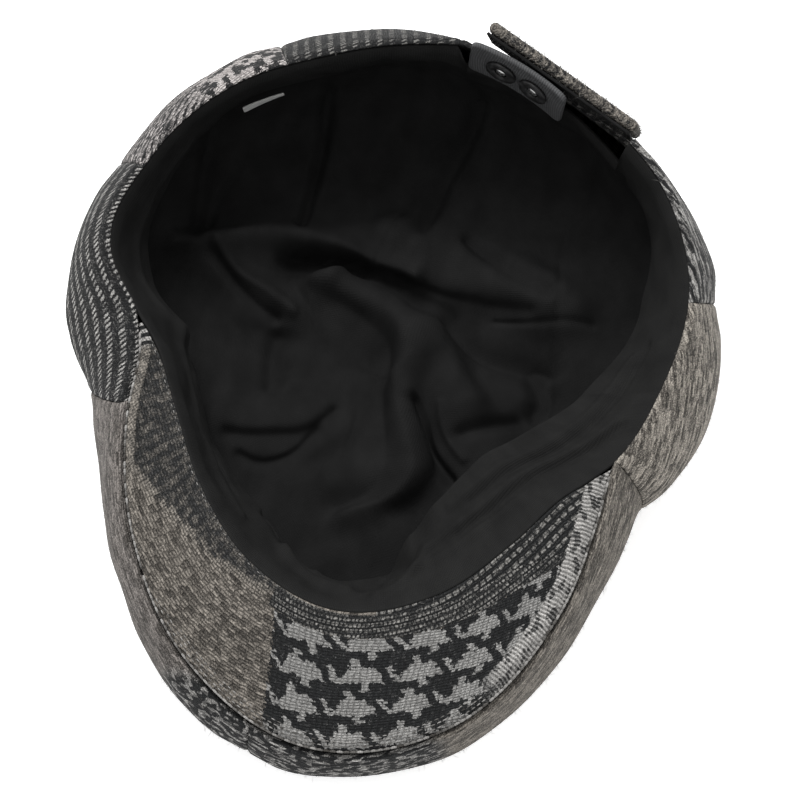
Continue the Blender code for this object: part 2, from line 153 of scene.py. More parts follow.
# Main folds of the lining: ends in shares of HEAD_RADIUS, then shares of FOLD_WIDTH and FOLD_HEIGHT
FOLD_COLUMNS = ("x0", "y0", "x1", "y1", "width", "height")
FOLDS = (
    (-0.74, 0.30, -0.16, 0.53, 0.8, 0.8),
    (-0.16, 0.53, 0.56, 0.43, 0.8, 0.9),
    (-0.46, 0.80, -0.47, 0.50, 0.5, 0.4),
    (-0.31, 0.27, 0.04, 0.15, 0.8, 0.9),
    (0.04, 0.15, 0.10, -0.32, 0.8, 0.9),
    (-0.70, 0.25, -0.40, 0.15, 0.6, 0.6),
    (-0.54, -0.38, -0.20, -0.22, 0.7, 0.6),
    (0.46, -0.30, 0.10, 0.10, 0.8, 0.7),
)

# Panels of the crown: each runs from one seam to the next. A seam has an azimuth at the top edge
# and one at the girth.
SEAMS = {
    "left_end": (211, 201.5),
    "left": (162.7, 159.5),
    "back_left": (127.1, 123.6),
    "notch_left": (91, 91),
    "notch_right": (52, 54),
    "right": (17.6, 24.6),
    "right_end": (-17, -16),
    "tip": (-94, -94),
}
PANELS = (
    ("crown_left", "left", "left_end"),
    ("crown_back_left", "back_left", "left"),
    ("crown_back", "notch_left", "back_left"),
    ("crown_strap_side", "notch_right", "notch_left"),
    ("crown_right_back", "right", "notch_right"),
    ("crown_right", "right_end", "right"),
    ("crown_front_right", "tip", "right_end"),
    ("crown_front_left", "left_end", "tip"),
)

# How finely cloth is divided, and the cells of strips, and how near to each other two points merge
CELL = 0.0012
STRIP_CELL = 0.0008
WELD = 0.00002

# Rows over a rolled edge and their steps from 0 to 1, finer at the edge, rows of the crown below its
# girth and on its flat patch, and how often the corners of a fold's line are cut
EDGE_ROWS = 6
EDGE_STEPS = 1 - np.cos(np.linspace(0, math.pi / 2, EDGE_ROWS))
UNDER_ROWS = 40
PATCH_ROWS = 24
CORNER_CUTS = 2

# Millimetres in a metre, distances in millimetres that count as the same, and the least divisor
MILLI = 1000
NEAR = 1e-6
TINY = 1e-12

# Sewn panels: puff between the seams and how far in it starts, depth and width of a seam's groove,
# rolled edge at the rim and beside the peak, and the slow unevenness of the cloth
PUFF = 0.0006
PUFF_FROM = 0.012
GROOVE_SHARE = 0.55
GROOVE_WIDTH = 0.0020
RIM_ROLL = 0.0013
RIM_TURN = 0.004
PEAK_ROLL = 0.0003
BOLD_RIDGE = 0.0016
BOLD_INSET = 0.0036
BOLD_WIDTH = 0.0026
BOLD_FROM = 290
BOLD_OVER = 14
SOFT_LIFT = 0.0005
SOFT_SIZE = 0.035
WAVES = 14

# Stage of the crown, from 0 at its rim, down to which its loose fibres show
FUZZ_STAGE = 1.75

# Ends of the dressed peak, tucked beside the sweatband, and its clearance from the crown
COVER_LEFT_END = 194.6
COVER_RIGHT_END = 341.5
COVER_CLEARANCE = 0.0001

# Sweatband: how far its top turns out over the lining, on the crown and more on the peak, over
# what depth, and how high
TURN_OUT = 0.00165
TURN_OUT_PEAK = 0.0010
TURN_DEPTH = 0.0042
TURN_UP = 0.0012

# Further lean of the sweatband's free edge: azimuths, then shares of BAND_LEAN
BAND_TURN = (
    (0, 24, 40, 60, 100, 120, 165, 178, 186, 195, 230, 249, 257, 270, 284, 292, 301, 316, 331, 345, 360),
    (0.2, -0.05, -0.16, -0.09, -0.1, 0, 0.05, 0.2, 0.25, 0, 0.04, 0.1, 0, -0.12, -0.1, 0.18, 0.33, 0.26,
     0.14, 0.25, 0.2),
)

# Folds of the sweatband: soft widths to the left and right of its run and height, in millimetres
# and below 0 for a crease, then points of azimuth and level
BAND_FOLDS = (
    (1.6, 2.4, -2.2, ((247, 0.98), (256, 0.95), (265, 0.76))),
    (1.5, 2.0, -1.8, ((256, 1.0), (262, 0.97), (266, 0.84))),
    (3.0, 3.0, 2.6, ((258, 0.7), (266, 0.55), (276, 0.45))),
    (3.0, 2.4, 2.2, ((267, 1.0), (276, 0.95), (283, 0.72))),
    (2.2, 3.0, 2.4, ((295, 0.62), (291, 0.37), (283, 0.18))),
    (2.4, 2.0, -2.0, ((286, 0.95), (289, 0.75), (290, 0.55))),
    (2.2, 1.6, 1.5, ((297, 0.62), (313, 0.55), (332, 0.46), (344, 0.44), (352, 0.3))),
    (1.4, 1.8, -1.4, ((305, 0.50), (330, 0.38), (344, 0.34), (352, 0.22))),
    (2.0, 2.4, 1.3, ((285, 0.5), (296, 0.42), (309, 0.34), (322, 0.28))),
    (1.5, 2.0, 1.3, ((305, 0.84), (330, 0.74), (352, 0.72), (370, 0.66))),
    (1.3, 1.3, -1.2, ((312, 0.7), (335, 0.6), (356, 0.56), (372, 0.5))),
    (2.0, 2.6, 1.2, ((188, 0.9), (205, 0.6), (225, 0.5), (245, 0.45))),
    (1.6, 1.6, -1.0, ((200, 0.85), (218, 0.72), (238, 0.7))),
    (3.0, 3.0, 1.2, ((150, 0.7), (170, 0.6), (185, 0.75))),
)

# Folds of the lining, in millimetres: soft widths to the left and right of its run and height, below
# 0 for a crease, then points of the lining spread flat about its middle
LINING_FOLDS = (
    (2.0, 2.6, -5.0, ((-52, 101), (-48, 83), (-47, 65), (-47, 48))),
    (3.0, 3.4, -3.2, ((-92, 83), (-87, 61), (-84, 44), (-81, 33))),
    (1.3, 1.3, -1.5, ((-75, 63), (-79, 47), (-78, 36))),
    (2.2, 5.0, -3.6, ((8, 113), (4, 92), (1, 84), (-1, 71), (-3, 60))),
    (8.0, 8.0, -5.0, ((-38, 53), (-27, 60), (-15, 69))),
    (3.0, 4.0, 5.0, ((-92, 28), (-75, 31), (-60, 38), (-45, 43), (-19, 46), (0, 46))),
    (6.0, 5.0, 2.4, ((0, 46), (20, 45), (36, 46), (50, 46))),
    (2.4, 4.0, -2.2, ((-50, 33), (-33, 38), (-18, 41), (-5, 41))),
    (1.6, 2.2, -1.0, ((-5, 41), (3, 41), (21, 40), (45, 40))),
    (6.0, 5.0, -7.0, ((-45, 34), (-35, 35), (-24, 37))),
    (2.0, 2.0, 3.0, ((-29, 28), (-25, 37), (-18, 42))),
    (2.2, 1.8, 3.0, ((-73, 30), (-64, 24), (-53, 19), (-42, 15))),
    (1.4, 1.8, -2.4, ((-74, 27), (-66, 21), (-56, 15), (-46, 12))),
    (3.0, 2.2, -3.4, ((15, 60), (25, 54), (37, 49), (50, 46))),
    (1.2, 1.2, -1.0, ((32, 33), (41, 35), (55, 38), (66, 38))),
    (6.5, 2.2, 4.0, ((-32, 27), (-19, 24), (-5, 20), (3, 15), (5, 6), (4, -1), (10, -21), (15, -33),
                     (12, -41), (6, -47), (-2, -52))),
    (3.0, 7.0, -3.5, ((-25, 23), (-13, 18), (-3, 12), (0, 4), (-2, -4), (2, -15), (6, -25), (8, -33),
                      (5, -41), (-4, -49))),
    (2.0, 2.4, -4.0, ((11, -8), (20, -21), (29, -28), (33, -31))),
    (1.2, 1.2, 1.4, ((21, -6), (29, -18), (36, -24))),
    (6.5, 6.0, 3.5, ((10, 20), (17, 12), (22, 4), (28, -4))),
    (6.0, 2.5, -3.0, ((15, 25), (23, 19), (32, 16), (42, 15), (55, 17))),
    (2.6, 2.6, -3.4, ((32, -15), (40, -9), (48, -4))),
    (4.5, 4.5, -6.5, ((52, 13), (56, 7), (55, 1))),
    (1.5, 3.4, -2.4, ((-50, -36), (-42, -35), (-33, -32), (-27, -30), (-21, -26), (-17, -19))),
    (1.4, 2.6, -1.8, ((-44, -42), (-38, -43), (-31, -40), (-25, -34), (-21, -27))),
    (4.5, 3.0, -3.4, ((-43, 5), (-43, -5), (-41, -15))),
    (7.0, 7.0, 3.5, ((-58, 8), (-60, -10), (-55, -28))),
    (8.0, 8.0, 2.6, ((-23, -44), (-9, -42), (1, -38))),
)

# Seams of the lining, with the half width and depth of their groove
LINING_SEAMS = (
    (0.9, 0.9, -0.8, ((-10, 110), (-10, 77), (-14, 58), (-18, 42), (-29, 28))),
    (0.9, 0.9, -0.9, ((59, 100), (51, 74), (50, 60), (55, 38), (55, 19), (58, 4), (62, -30))),
)

# How far the lining's bowl is lifted, height and size of its slow unevenness, and how far from its
# middle its normals turn into one
BOWL_LIFT = 0.004
LINING_SOFT = 0.0008
LINING_SOFT_SIZE = 0.022
POLE_CALM = 0.014


def along(column, azimuth):
    """A table column at any azimuth: smooth cubic pieces through its rows, closed into a ring."""
    ring = SECTION["azimuth"]
    values = SECTION[column]
    knots = np.concatenate((ring[-2:] - 360, ring, ring[:3] + 360))
    levels = np.concatenate((values[-2:], values, values[:3]))
    slopes = np.gradient(levels, knots)
    turned = np.mod(azimuth, 360)
    at = np.searchsorted(knots, turned, side="right") - 1
    width = knots[at + 1] - knots[at]
    t = (turned - knots[at]) / width
    rise = levels[at + 1] - levels[at]
    bend = (1 - t) * (slopes[at] * width - rise) - t * (slopes[at + 1] * width - rise)
    return levels[at] + t * rise + t * (1 - t) * bend


def smooth_step(share):
    """0 below a share of 0, 1 above a share of 1, and an even curve between."""
    held = np.clip(share, 0, 1)
    return held * held * (3 - 2 * held)


def around(azimuth, radius, height):
    """Points at an azimuth, radius and height about the middle of the opening."""
    angle = np.radians(azimuth)
    flat = np.broadcast_arrays(radius * np.cos(angle), radius * np.sin(angle), height)
    return np.stack(flat, -1) + MIDDLE


def opening_radius(azimuth):
    """Radius of the head opening."""
    return HEAD_RADIUS * along("opening", azimuth)


def peak_share(azimuth):
    """How far the peak reaches there, as a share of its full reach, and 0 where there is none."""
    return np.maximum(along("peak", azimuth), 0)


def rim_plane(azimuth, radius):
    """Height of the tilted plane of the rim."""
    return RIM_HEIGHT + math.tan(RIM_TILT) * radius * np.sin(np.radians(azimuth))


def peak_height(azimuth, radius, share):
    """Height of the peak: the rim's plane, hollowed along its middle and raised at its sides."""
    sideways = radius * np.cos(np.radians(azimuth)) / HEAD_RADIUS
    return rim_plane(azimuth, radius) + PEAK_TROUGH * share * (sideways ** 2 - TROUGH_LEVEL)


def notch(azimuth):
    """1 across the notch at the back, falling to 0 over its two sides."""
    turned = np.mod(azimuth, 360)
    rising = smooth_step((turned - NOTCH_FROM) / NOTCH_SIDE)
    falling = smooth_step((NOTCH_TO - turned) / NOTCH_SIDE)
    return rising * falling


def strap_dent(azimuth):
    """1 under the middle of the strap, which presses the crown in, and 0 well beside it."""
    turned = np.mod(azimuth - STRAP_AZIMUTH + 180, 360) - 180
    return smooth_step(1 - np.abs(turned / DENT_SPREAD))


def crown_face(azimuth, stage):
    """Outer face of the crown, where stage runs 0 to 1 down to the girth, to 2 at the flat patch
    and to 3 at its middle.

    Above the girth the radius falls off with the square of the height, more squarely at the peak,
    below it each section is a quarter of an ellipse, and the patch is flat.
    """
    share = peak_share(azimuth)
    edge = opening_radius(azimuth) + PEAK_REACH * share + CROWN_WALL
    lip = PEAK_LIP * smooth_step(share / PEAK_START)
    edge_height = peak_height(azimuth, edge, share) - lip
    girth_height = GIRTH_LEVEL * edge_height
    bulge = BULGE * along("bulge", azimuth)
    power = 1 - PEAK_SQUARENESS * smooth_step(share / PEAK_HALF)
    top = 1 - NOTCH_DEPTH * notch(azimuth) / (edge_height - girth_height)
    rise = top * np.clip(1 - stage, 0, 1)
    pressed = STRAP_DENT * strap_dent(azimuth) * 4 * rise * (1 - rise)
    turn = np.clip(stage - 1, 0, 1) * math.pi / 2
    inward = 1 - np.clip(stage - 2, 0, 1)
    above = edge + bulge * np.clip(1 - rise ** 2, 0, 1) ** power - pressed
    below = (edge + bulge - UNDERCURVE * (1 - np.cos(turn))) * inward
    radius = np.where(stage < 1, above, below)
    height = np.where(stage < 1, girth_height + (edge_height - girth_height) * rise,
                      girth_height * (1 - np.sin(turn)))
    return around(azimuth, radius, height)


def fold_lift(x, y):
    """Height of the lining's folds: a rounded ridge along each line of the table, blended where
    they meet as the fourth root of the sum of their fourth powers.
    """
    total = np.zeros_like(x)
    for row in FOLDS:
        fold = dict(zip(FOLD_COLUMNS, row))
        start = np.array((fold["x0"], fold["y0"])) * HEAD_RADIUS
        run = np.array((fold["x1"], fold["y1"])) * HEAD_RADIUS - start
        share = ((x - start[0]) * run[0] + (y - start[1]) * run[1]) / (run @ run)
        held = np.clip(share, 0, 1)
        away = np.hypot(x - start[0] - held * run[0], y - start[1] - held * run[1])
        ridge = np.exp(-(away / (FOLD_WIDTH * fold["width"])) ** 2)
        total = total + (fold["height"] * ridge) ** 4
    return FOLD_HEIGHT * total ** 0.25


def lining_face(azimuth, stage):
    """Outer face of the lining, where stage runs 0 to 1 down its wall and on to 2 at its middle.

    The wall is straight behind the sweatband. The bowl's sections are superellipses, and its lower
    half is raised along the folds.
    """
    top_radius = opening_radius(azimuth) - GAP
    top_height = rim_plane(azimuth, top_radius) - TUCK
    drop = np.minimum(LINING_DROP, WALL_SHARE * (top_height - LINING_FLOOR))
    lean = np.radians(np.minimum(along("lean", azimuth) * BAND_LEAN, 0) - LINING_SPLAY)
    cut = NOTCH_DEPTH * notch(azimuth) / drop
    down = cut + (1 - cut) * np.clip(stage, 0, 1)
    elbow_radius = top_radius - np.tan(lean) * drop
    elbow_height = top_height - drop
    level = np.clip(2 - stage, 0, 1)
    depth = np.clip(1 - level ** LINING_SQUARENESS, 0, 1) ** (1 / LINING_SQUARENESS)
    bowl = elbow_height - (elbow_height - LINING_FLOOR) * depth
    angle = np.radians(azimuth)
    spread = elbow_radius * level
    lift = fold_lift(spread * np.cos(angle), spread * np.sin(angle))
    bowl = bowl + lift * smooth_step((depth - FOLDS_FROM) / FOLDS_OVER)
    radius = np.where(stage < 1, top_radius - np.tan(lean) * drop * down, spread)
    height = np.where(stage < 1, top_height - drop * down, bowl)
    return around(azimuth, radius, height)


def band_section(azimuth, level, lean):
    """Radius and height of the sweatband's outer face at a lean, and how far it is below its top.

    Level is 0 at its top, which is cut out at the notch, and 1 at its free edge.
    """
    radius = opening_radius(azimuth) - 2 * GAP - LINING_WALL
    height = rim_plane(azimuth, radius) - TUCK
    cut = NOTCH_DEPTH * notch(azimuth)
    down = cut + (BAND_HEIGHT - cut) * level
    return radius - np.sin(lean) * down, height - np.cos(lean) * down, down - cut


def band_face(azimuth, level):
    """Outer face of the solids' sweatband, which leans by the table."""
    radius, height, _ = band_section(azimuth, level, np.radians(along("lean", azimuth) * BAND_LEAN))
    return around(azimuth, radius, height)


def peak_width(azimuth):
    """Inner radius of the peak and its width from there to its outer edge."""
    inner = opening_radius(azimuth) + PEAK_THICKNESS * math.tan(RIM_TILT) + PEAK_SEAM
    outer = opening_radius(azimuth) + PEAK_REACH * peak_share(azimuth) - COVER_CLEARANCE
    return inner, np.maximum(outer - inner, PEAK_SEAM)


def peak_face(azimuth, across):
    """Upper face of the peak, across 0 beside the sweatband and 1 at its outer edge."""
    inner, width = peak_width(azimuth)
    radius = inner + width * across
    inset = width * (1 - across)
    bold = smooth_step((azimuth - BOLD_FROM) / BOLD_OVER) * smooth_step(inset / PEAK_ROLL)
    ridge = PEAK_RIDGE * np.exp(-((inset - RIDGE_INSET) / RIDGE_WIDTH) ** 2) * (1 - bold)
    ridge = ridge + BOLD_RIDGE * np.exp(-((inset - BOLD_INSET) / BOLD_WIDTH) ** 2) * bold
    share = peak_share(azimuth)
    return around(azimuth, radius, peak_height(azimuth, radius, share * across) + ridge)


def unit(vectors):
    """Vectors brought to length 1, or left short where they have next to none."""
    return vectors / np.maximum(np.linalg.norm(vectors, axis=-1, keepdims=True), TINY)


def normals(points):
    """Unit normals of a grid of points: the cross product of its two directions."""
    return unit(np.cross(np.gradient(points, axis=0), np.gradient(points, axis=1)))


def arc_lengths(points, axis):
    """Length run along one direction of a grid, from 0 at its first row."""
    steps = np.linalg.norm(np.diff(points, axis=axis), axis=-1)
    start = np.zeros_like(np.take(steps, [0], axis=axis))
    return np.concatenate((start, np.cumsum(steps, axis=axis)), axis=axis)


def lengths_from_last(points):
    """Length run back along the columns of a grid, from 0 at its last row."""
    return np.flip(arc_lengths(np.flip(points, 0), 0), 0)


def spread_steps(length, cell, edge):
    """Shares from 0 to 1 along a length: even cells, with finer ones over an edge at both ends."""
    fine = edge * EDGE_STEPS[:-1]
    count = max(2, int(round((length - 2 * edge) / cell)))
    even = np.linspace(edge, length - edge, count + 1)
    return np.concatenate((fine, even, length - fine[::-1])) / length


def rolled_edge(distance, edge):
    """0 at an edge, rising to 1 as a quarter of a circle over that distance in from it."""
    held = 1 - np.clip(distance / edge, 0, 1)
    return np.sqrt(1 - held ** 2)


def softened(points):
    """A line of points with its ends kept and its corners cut, each time to a quarter of each side."""
    line = np.array(points, dtype=float)
    for _ in range(CORNER_CUTS):
        quarter = (3 * line[:-1] + line[1:]) / 4
        three = (line[:-1] + 3 * line[1:]) / 4
        inner = np.stack((quarter, three), 1).reshape(-1, 2)
        line = np.concatenate((line[:1], inner[1:-1], line[-1:]))
    return line


def fold_height(x, y, folds):
    """Sum of the folds at points in millimetres, in metres: each falls off as a bell on both sides
    of its line, over its left width on the one side and its right width on the other.
    """
    total = np.zeros_like(x)
    for left, right, height, points in folds:
        line = softened(points)
        nearest = np.full_like(x, np.inf)
        side = np.zeros_like(x)
        for start, end in zip(line[:-1], line[1:]):
            run = end - start
            share = np.clip(((x - start[0]) * run[0] + (y - start[1]) * run[1]) / (run @ run), 0, 1)
            dx = x - start[0] - share * run[0]
            dy = y - start[1] - share * run[1]
            away = np.hypot(dx, dy)
            turned = (run[0] * dy - run[1] * dx) / np.linalg.norm(run)
            as_near = (away < nearest + NEAR) & (np.abs(turned) > np.abs(side))
            closer = (away < nearest - NEAR) | as_near
            nearest = np.where(closer, away, nearest)
            side = np.where(closer, turned, side)
        leaning = 0.5 + 0.5 * side / np.maximum(nearest, TINY)
        width = right + (left - right) * leaning
        total = total + height / MILLI * np.exp(-(nearest / width) ** 2)
    return total


def make_mesh(name, grids, maps, values=None):
    """A welded mesh from grids of points that face outwards.

    Maps are UV maps by name, and values numbers kept at each point by name: each holds one array
    for each grid.
    """
    mesh = bpy.data.meshes.new(name)
    corners = []
    start = 0
    for points in grids:
        rows, columns = points.shape[:2]
        index = start + np.arange(rows * columns).reshape(rows, columns)
        quads = np.stack((index[:-1, :-1], index[1:, :-1], index[1:, 1:], index[:-1, 1:]), -1)
        corners.append(quads.reshape(-1, 4))
        start += rows * columns
    vertices = np.concatenate([points.reshape(-1, 3) for points in grids])
    faces = np.concatenate(corners)
    mesh.vertices.add(len(vertices))
    mesh.vertices.foreach_set("co", vertices.astype(np.float32).ravel())
    mesh.loops.add(faces.size)
    mesh.loops.foreach_set("vertex_index", faces.astype(np.int32).ravel())
    mesh.polygons.add(len(faces))
    mesh.polygons.foreach_set("loop_start", np.arange(0, faces.size, 4, dtype=np.int32))
    for title, arrays in maps.items():
        flat = np.concatenate([array.reshape(-1, 2) for array in arrays])
        layer = mesh.uv_layers.new(name=title)
        layer.data.foreach_set("uv", flat[faces.ravel()].astype(np.float32).ravel())
    for title, arrays in (values or {}).items():
        flat = np.concatenate([array.ravel() for array in arrays])
        layer = mesh.attributes.new(title, "FLOAT", "POINT")
        layer.data.foreach_set("value", flat.astype(np.float32))
    mesh.update(calc_edges=True)
    work = bmesh.new()
    work.from_mesh(mesh)
    bmesh.ops.remove_doubles(work, verts=work.verts, dist=WELD)
    work.to_mesh(mesh)
    work.free()
    mesh.shade_smooth()
    return mesh


def add_piece(name, mesh, paint, slot, *nodes):
    """An object of the cap that rides on its only body, with its material. The slot is not used."""
    piece = bpy.data.objects.new(name, mesh)
    bpy.context.scene.collection.objects.link(piece)
    mesh.materials.append(paint)
    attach(piece, "root")
    if nodes:
        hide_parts(*nodes)
    return piece


def both_faces(arrays):
    """Each array as it is for an outer face, and turned round for the inner face."""
    return {title: (array, array[:, ::-1]) for title, array in arrays.items()}


def pillow(name, outer, inner, maps, paint, slot, *nodes, values=None):
    """A closed piece between an outer and an inner face, which meet along their borders."""
    grids = (outer, inner[:, ::-1])
    mesh = make_mesh(name, grids, both_faces(maps), both_faces(values or {}))
    return add_piece(name, mesh, paint, slot, *nodes)


def ripples(points, size, seed):
    """Soft unevenness from about -1 to 1: sine waves of about that size in seeded directions."""
    random = np.random.default_rng(seed)
    waves = random.normal(size=(WAVES, 3)) * 2 * math.pi / size / math.sqrt(3)
    starts = random.uniform(0, 2 * math.pi, WAVES)
    return np.sin(points @ waves.T + starts).sum(-1) / math.sqrt(WAVES)


def crown_stages():
    """Stages of the crown's rows, from its rim down to the middle of its flat patch."""
    depth = RIM_HEIGHT * (1 - GIRTH_LEVEL)
    rim = RIM_ROLL * EDGE_STEPS / depth
    wall = np.linspace(RIM_ROLL, depth, int(depth / CELL)) / depth
    under = np.linspace(1, 2, UNDER_ROWS)
    patch = np.linspace(2, 3, PATCH_ROWS)
    return np.concatenate((rim[:-1], wall[:-1], under[:-1], patch))


def crown_panel(name, first, last, paint, slot, *nodes):
    """One sewn panel of the crown, closed, with rolled edges and a little puff between its seams.

    Its wall is measured along the face's normals, which turn level at the rim.
    """
    rim_first, girth_first = SEAMS[first]
    rim_last, girth_last = SEAMS[last]
    if rim_last < rim_first:
        rim_first, girth_first = rim_first - 360, girth_first - 360
    size = math.radians(girth_last - girth_first) * (HEAD_RADIUS + BULGE)
    stage, across = np.meshgrid(crown_stages(), spread_steps(size, CELL, GROOVE_WIDTH), indexing="ij")
    slant = np.clip(stage, 0, 1)
    low = rim_first + (girth_first - rim_first) * slant
    high = rim_last + (girth_last - rim_last) * slant
    azimuth = low + (high - low) * across
    face = crown_face(azimuth, stage)
    out = normals(face)
    out[-1] = (0, 0, -1)
    from_rim = arc_lengths(face, 0)
    angle = np.radians(azimuth)
    level = np.stack((np.cos(angle), np.sin(angle), np.zeros_like(angle)), -1)
    out = unit(out + (level - out) * smooth_step(1 - from_rim / RIM_TURN)[..., None])
    from_middle = lengths_from_last(face)
    radius = np.hypot(face[..., 0] - MIDDLE[0], face[..., 1] - MIDDLE[1])
    from_seam = np.minimum(across, 1 - across) * radius * np.radians(high - low)
    roll = RIM_ROLL + (PEAK_ROLL - RIM_ROLL) * smooth_step(peak_share(azimuth) / PEAK_START)
    seam = GROOVE_SHARE + (1 - GROOVE_SHARE) * rolled_edge(from_seam, GROOVE_WIDTH)
    wall = CROWN_WALL * seam * rolled_edge(from_rim, roll) * rolled_edge(from_middle, RIM_ROLL)
    held = (1 - smooth_step(stage - 1)) * smooth_step(from_rim / PUFF_FROM)
    puffed = PUFF * smooth_step(from_seam / PUFF_FROM)
    uneven = SOFT_LIFT * ripples(face, SOFT_SIZE, seed=len(name)) * smooth_step(from_seam / PUFF_FROM)
    base = face - out * CROWN_WALL
    outer = base + out * (wall + (puffed + uneven) * held)[..., None]
    border = (from_rim < WELD) | (from_seam < WELD) | (from_middle < WELD)
    outer = np.where(border[..., None], base, outer)
    turn = np.radians(azimuth - (girth_first + girth_last) / 2)
    uv = np.stack((radius * turn, arc_lengths(outer, 0)), -1)
    pillow(name, outer, base, {"cloth": uv}, paint, slot, *nodes)
    return outer[stage[:, 0] < FUZZ_STAGE]


# Mix node: its sockets for two colours, and its output for a colour
MIX_FIRST = 6
MIX_SECOND = 7
MIX_COLOUR = 2

# Soft noises of the cloths: width and height of their lumps in metres, seed and detail
LUMPS = {
    "stripe": (0.0008, 0.0008, 4.0, 3.0),
    "tip": (0.0011, 0.0011, 8.0, 2.0),
    "tip_blotch": (0.0034, 0.0019, 6.0, 0.0),
    "peak": (0.0011, 0.0011, 11.0, 2.0),
    "peak_blotch": (0.0030, 0.0032, 4.0, 1.0),
    "dim_bars": (0.006, 0.006, 6.0, 1.0),
    "ribs": (0.004, 0.004, 5.0, 1.0),
    "patches": (0.0042, 0.0032, 9.0, 1.0),
    "cotton": (0.009, 0.013, 1.0, 2.0),
    "lint": (0.0016, 0.0005, 6.0, 2.0),
    "ribbon": (0.004, 0.003, 2.0, 2.0),
    "ribbon_fibre": (0.0006, 0.0002, 5.0, 2.0),
    "floor": (0.3, 0.3, 0.0, 1.0),
}


class Value:
    """A socket of a material's tree. Arithmetic on it adds Math nodes."""

    def __init__(self, cloth, socket):
        self.cloth = cloth
        self.socket = socket

    def joined(self, operation, *values):
        """The output of a Math node on these values."""
        return self.cloth.node("ShaderNodeMath", {"operation": operation}, dict(enumerate(values)))

    def __add__(self, other):
        return self.joined("ADD", self, other)

    __radd__ = __add__

    def __sub__(self, other):
        return self.joined("SUBTRACT", self, other)

    def __rsub__(self, other):
        return self.joined("SUBTRACT", other, self)

    def __mul__(self, other):
        return self.joined("MULTIPLY", self, other)

    __rmul__ = __mul__

    def __truediv__(self, other):
        return self.joined("DIVIDE", self, other)

    def __mod__(self, other):
        return self.joined("FLOORED_MODULO", self, other)

    def __lt__(self, other):
        return self.joined("LESS_THAN", self, other)

    def __gt__(self, other):
        return self.joined("GREATER_THAN", self, other)

    def floor(self):
        """The whole number below."""
        return self.joined("FLOOR", self)

    def size(self):
        """The value without its sign."""
        return self.joined("ABSOLUTE", self)

    def wave(self):
        """Sine of the value, in turns."""
        return self.joined("SINE", self * (2 * math.pi))

    def most(self, other):
        """The larger of two values."""
        return self.joined("MAXIMUM", self, other)

    def soft(self, low, high):
        """0 at low, 1 at high and an even curve between, where low may be above high."""
        inputs = {"Value": self, "From Min": low, "From Max": high}
        return self.cloth.node("ShaderNodeMapRange", {"interpolation_type": "SMOOTHSTEP"}, inputs)

    def spread(self, low, high):
        """0 turned into low and 1 into high."""
        return self * (high - low) + low

    def toward(self, other, *shares):
        """The value moved to another one by a share, or by several that multiply."""
        step = other - self
        for share in shares:
            step = step * share
        return self + step

    def off_middle(self):
        """How far the value is from the middle between two whole numbers."""
        return ((self % 1) - 0.5).size()

    def bars(self, low, high):
        """Bars at the middles of the units: 0 from low away on, 1 up to high away, soft between."""
        return self.off_middle().soft(low, high)


class Cloth:
    """A Principled material and the nodes that feed it."""

    def __init__(self, name, roughness, metallic=0.0, specular=0.25):
        self.material = bpy.data.materials.new(name)
        self.material.use_nodes = True
        self.tree = self.material.node_tree
        self.shader = self.tree.nodes["Principled BSDF"]
        self.shader.inputs["Roughness"].default_value = roughness
        self.shader.inputs["Metallic"].default_value = metallic
        self.shader.inputs["Specular IOR Level"].default_value = specular

    def node(self, kind, settings, inputs, output=0):
        """Add a node of that kind, set its settings and then its sockets, and give one output."""
        made = self.tree.nodes.new(kind)
        for name, value in settings.items():
            setattr(made, name, value)
        for key, value in inputs.items():
            self.feed(made.inputs[key], value)
        return Value(self, made.outputs[output])

    def feed(self, socket, value):
        """Link a value to a socket, or set the socket to a number, vector or colour."""
        if isinstance(value, Value):
            self.tree.links.new(value.socket, socket)
        else:
            socket.default_value = value

    def pair(self, name):
        """Both coordinates of one of the piece's UV maps."""
        both = self.node("ShaderNodeUVMap", {"uv_map": name}, {})
        return self.parts(both)[:2]

    def place(self):
        """The three object coordinates."""
        return self.parts(self.node("ShaderNodeTexCoord", {}, {}, "Object"))

    def parts(self, vector):
        """The three parts of a vector."""
        split = self.node("ShaderNodeSeparateXYZ", {}, {0: vector}).socket.node
        return [Value(self, output) for output in split.outputs]

    def attribute(self, name):
        """A number that the piece keeps at each of its points."""
        return self.node("ShaderNodeAttribute", {"attribute_name": name}, {}, "Fac")

    def vector(self, x, y, z=0.0):
        """Three values as one vector."""
        return self.node("ShaderNodeCombineXYZ", {}, {0: x, 1: y, 2: z})

    def noise(self, x, y, z=0.0, detail=1.0):
        """Soft noise from 0 to 1 with lumps about one unit across."""
        inputs = {"Vector": self.vector(x, y, z), "Scale": 1.0, "Detail": detail}
        return self.node("ShaderNodeTexNoise", {}, inputs)

    def lumps(self, name, u, v):
        """One of the noises of the table, over two coordinates in metres."""
        width, height, seed, detail = LUMPS[name]
        return self.noise(u / width, v / height, seed, detail)

    def chance(self, x, y, z=0.0):
        """A different number from 0 to 1 for each whole x, y and z."""
        return self.node("ShaderNodeTexWhiteNoise", {}, {"Vector": self.vector(x, y, z)})

    def blend(self, share, first, second):
        """One colour turning into another by a share."""
        inputs = {0: share, MIX_FIRST: first, MIX_SECOND: second}
        return self.node("ShaderNodeMix", {"data_type": "RGBA"}, inputs, MIX_COLOUR)

    def shade(self, colour, amount):
        """A colour made lighter or darker by a factor."""
        return self.node("ShaderNodeVectorMath", {"operation": "SCALE"}, {0: colour, "Scale": amount})

    def done(self, colour, height=None, depth=0.0):
        """Feed the shader its colour, and a relief of that depth in metres. Gives the material."""
        self.feed(self.shader.inputs["Base Color"], colour)
        if height is not None:
            relief = self.node("ShaderNodeBump", {}, {"Height": height, "Distance": depth, "Strength": 1.0})
            self.feed(self.shader.inputs["Normal"], relief)
        return self.material


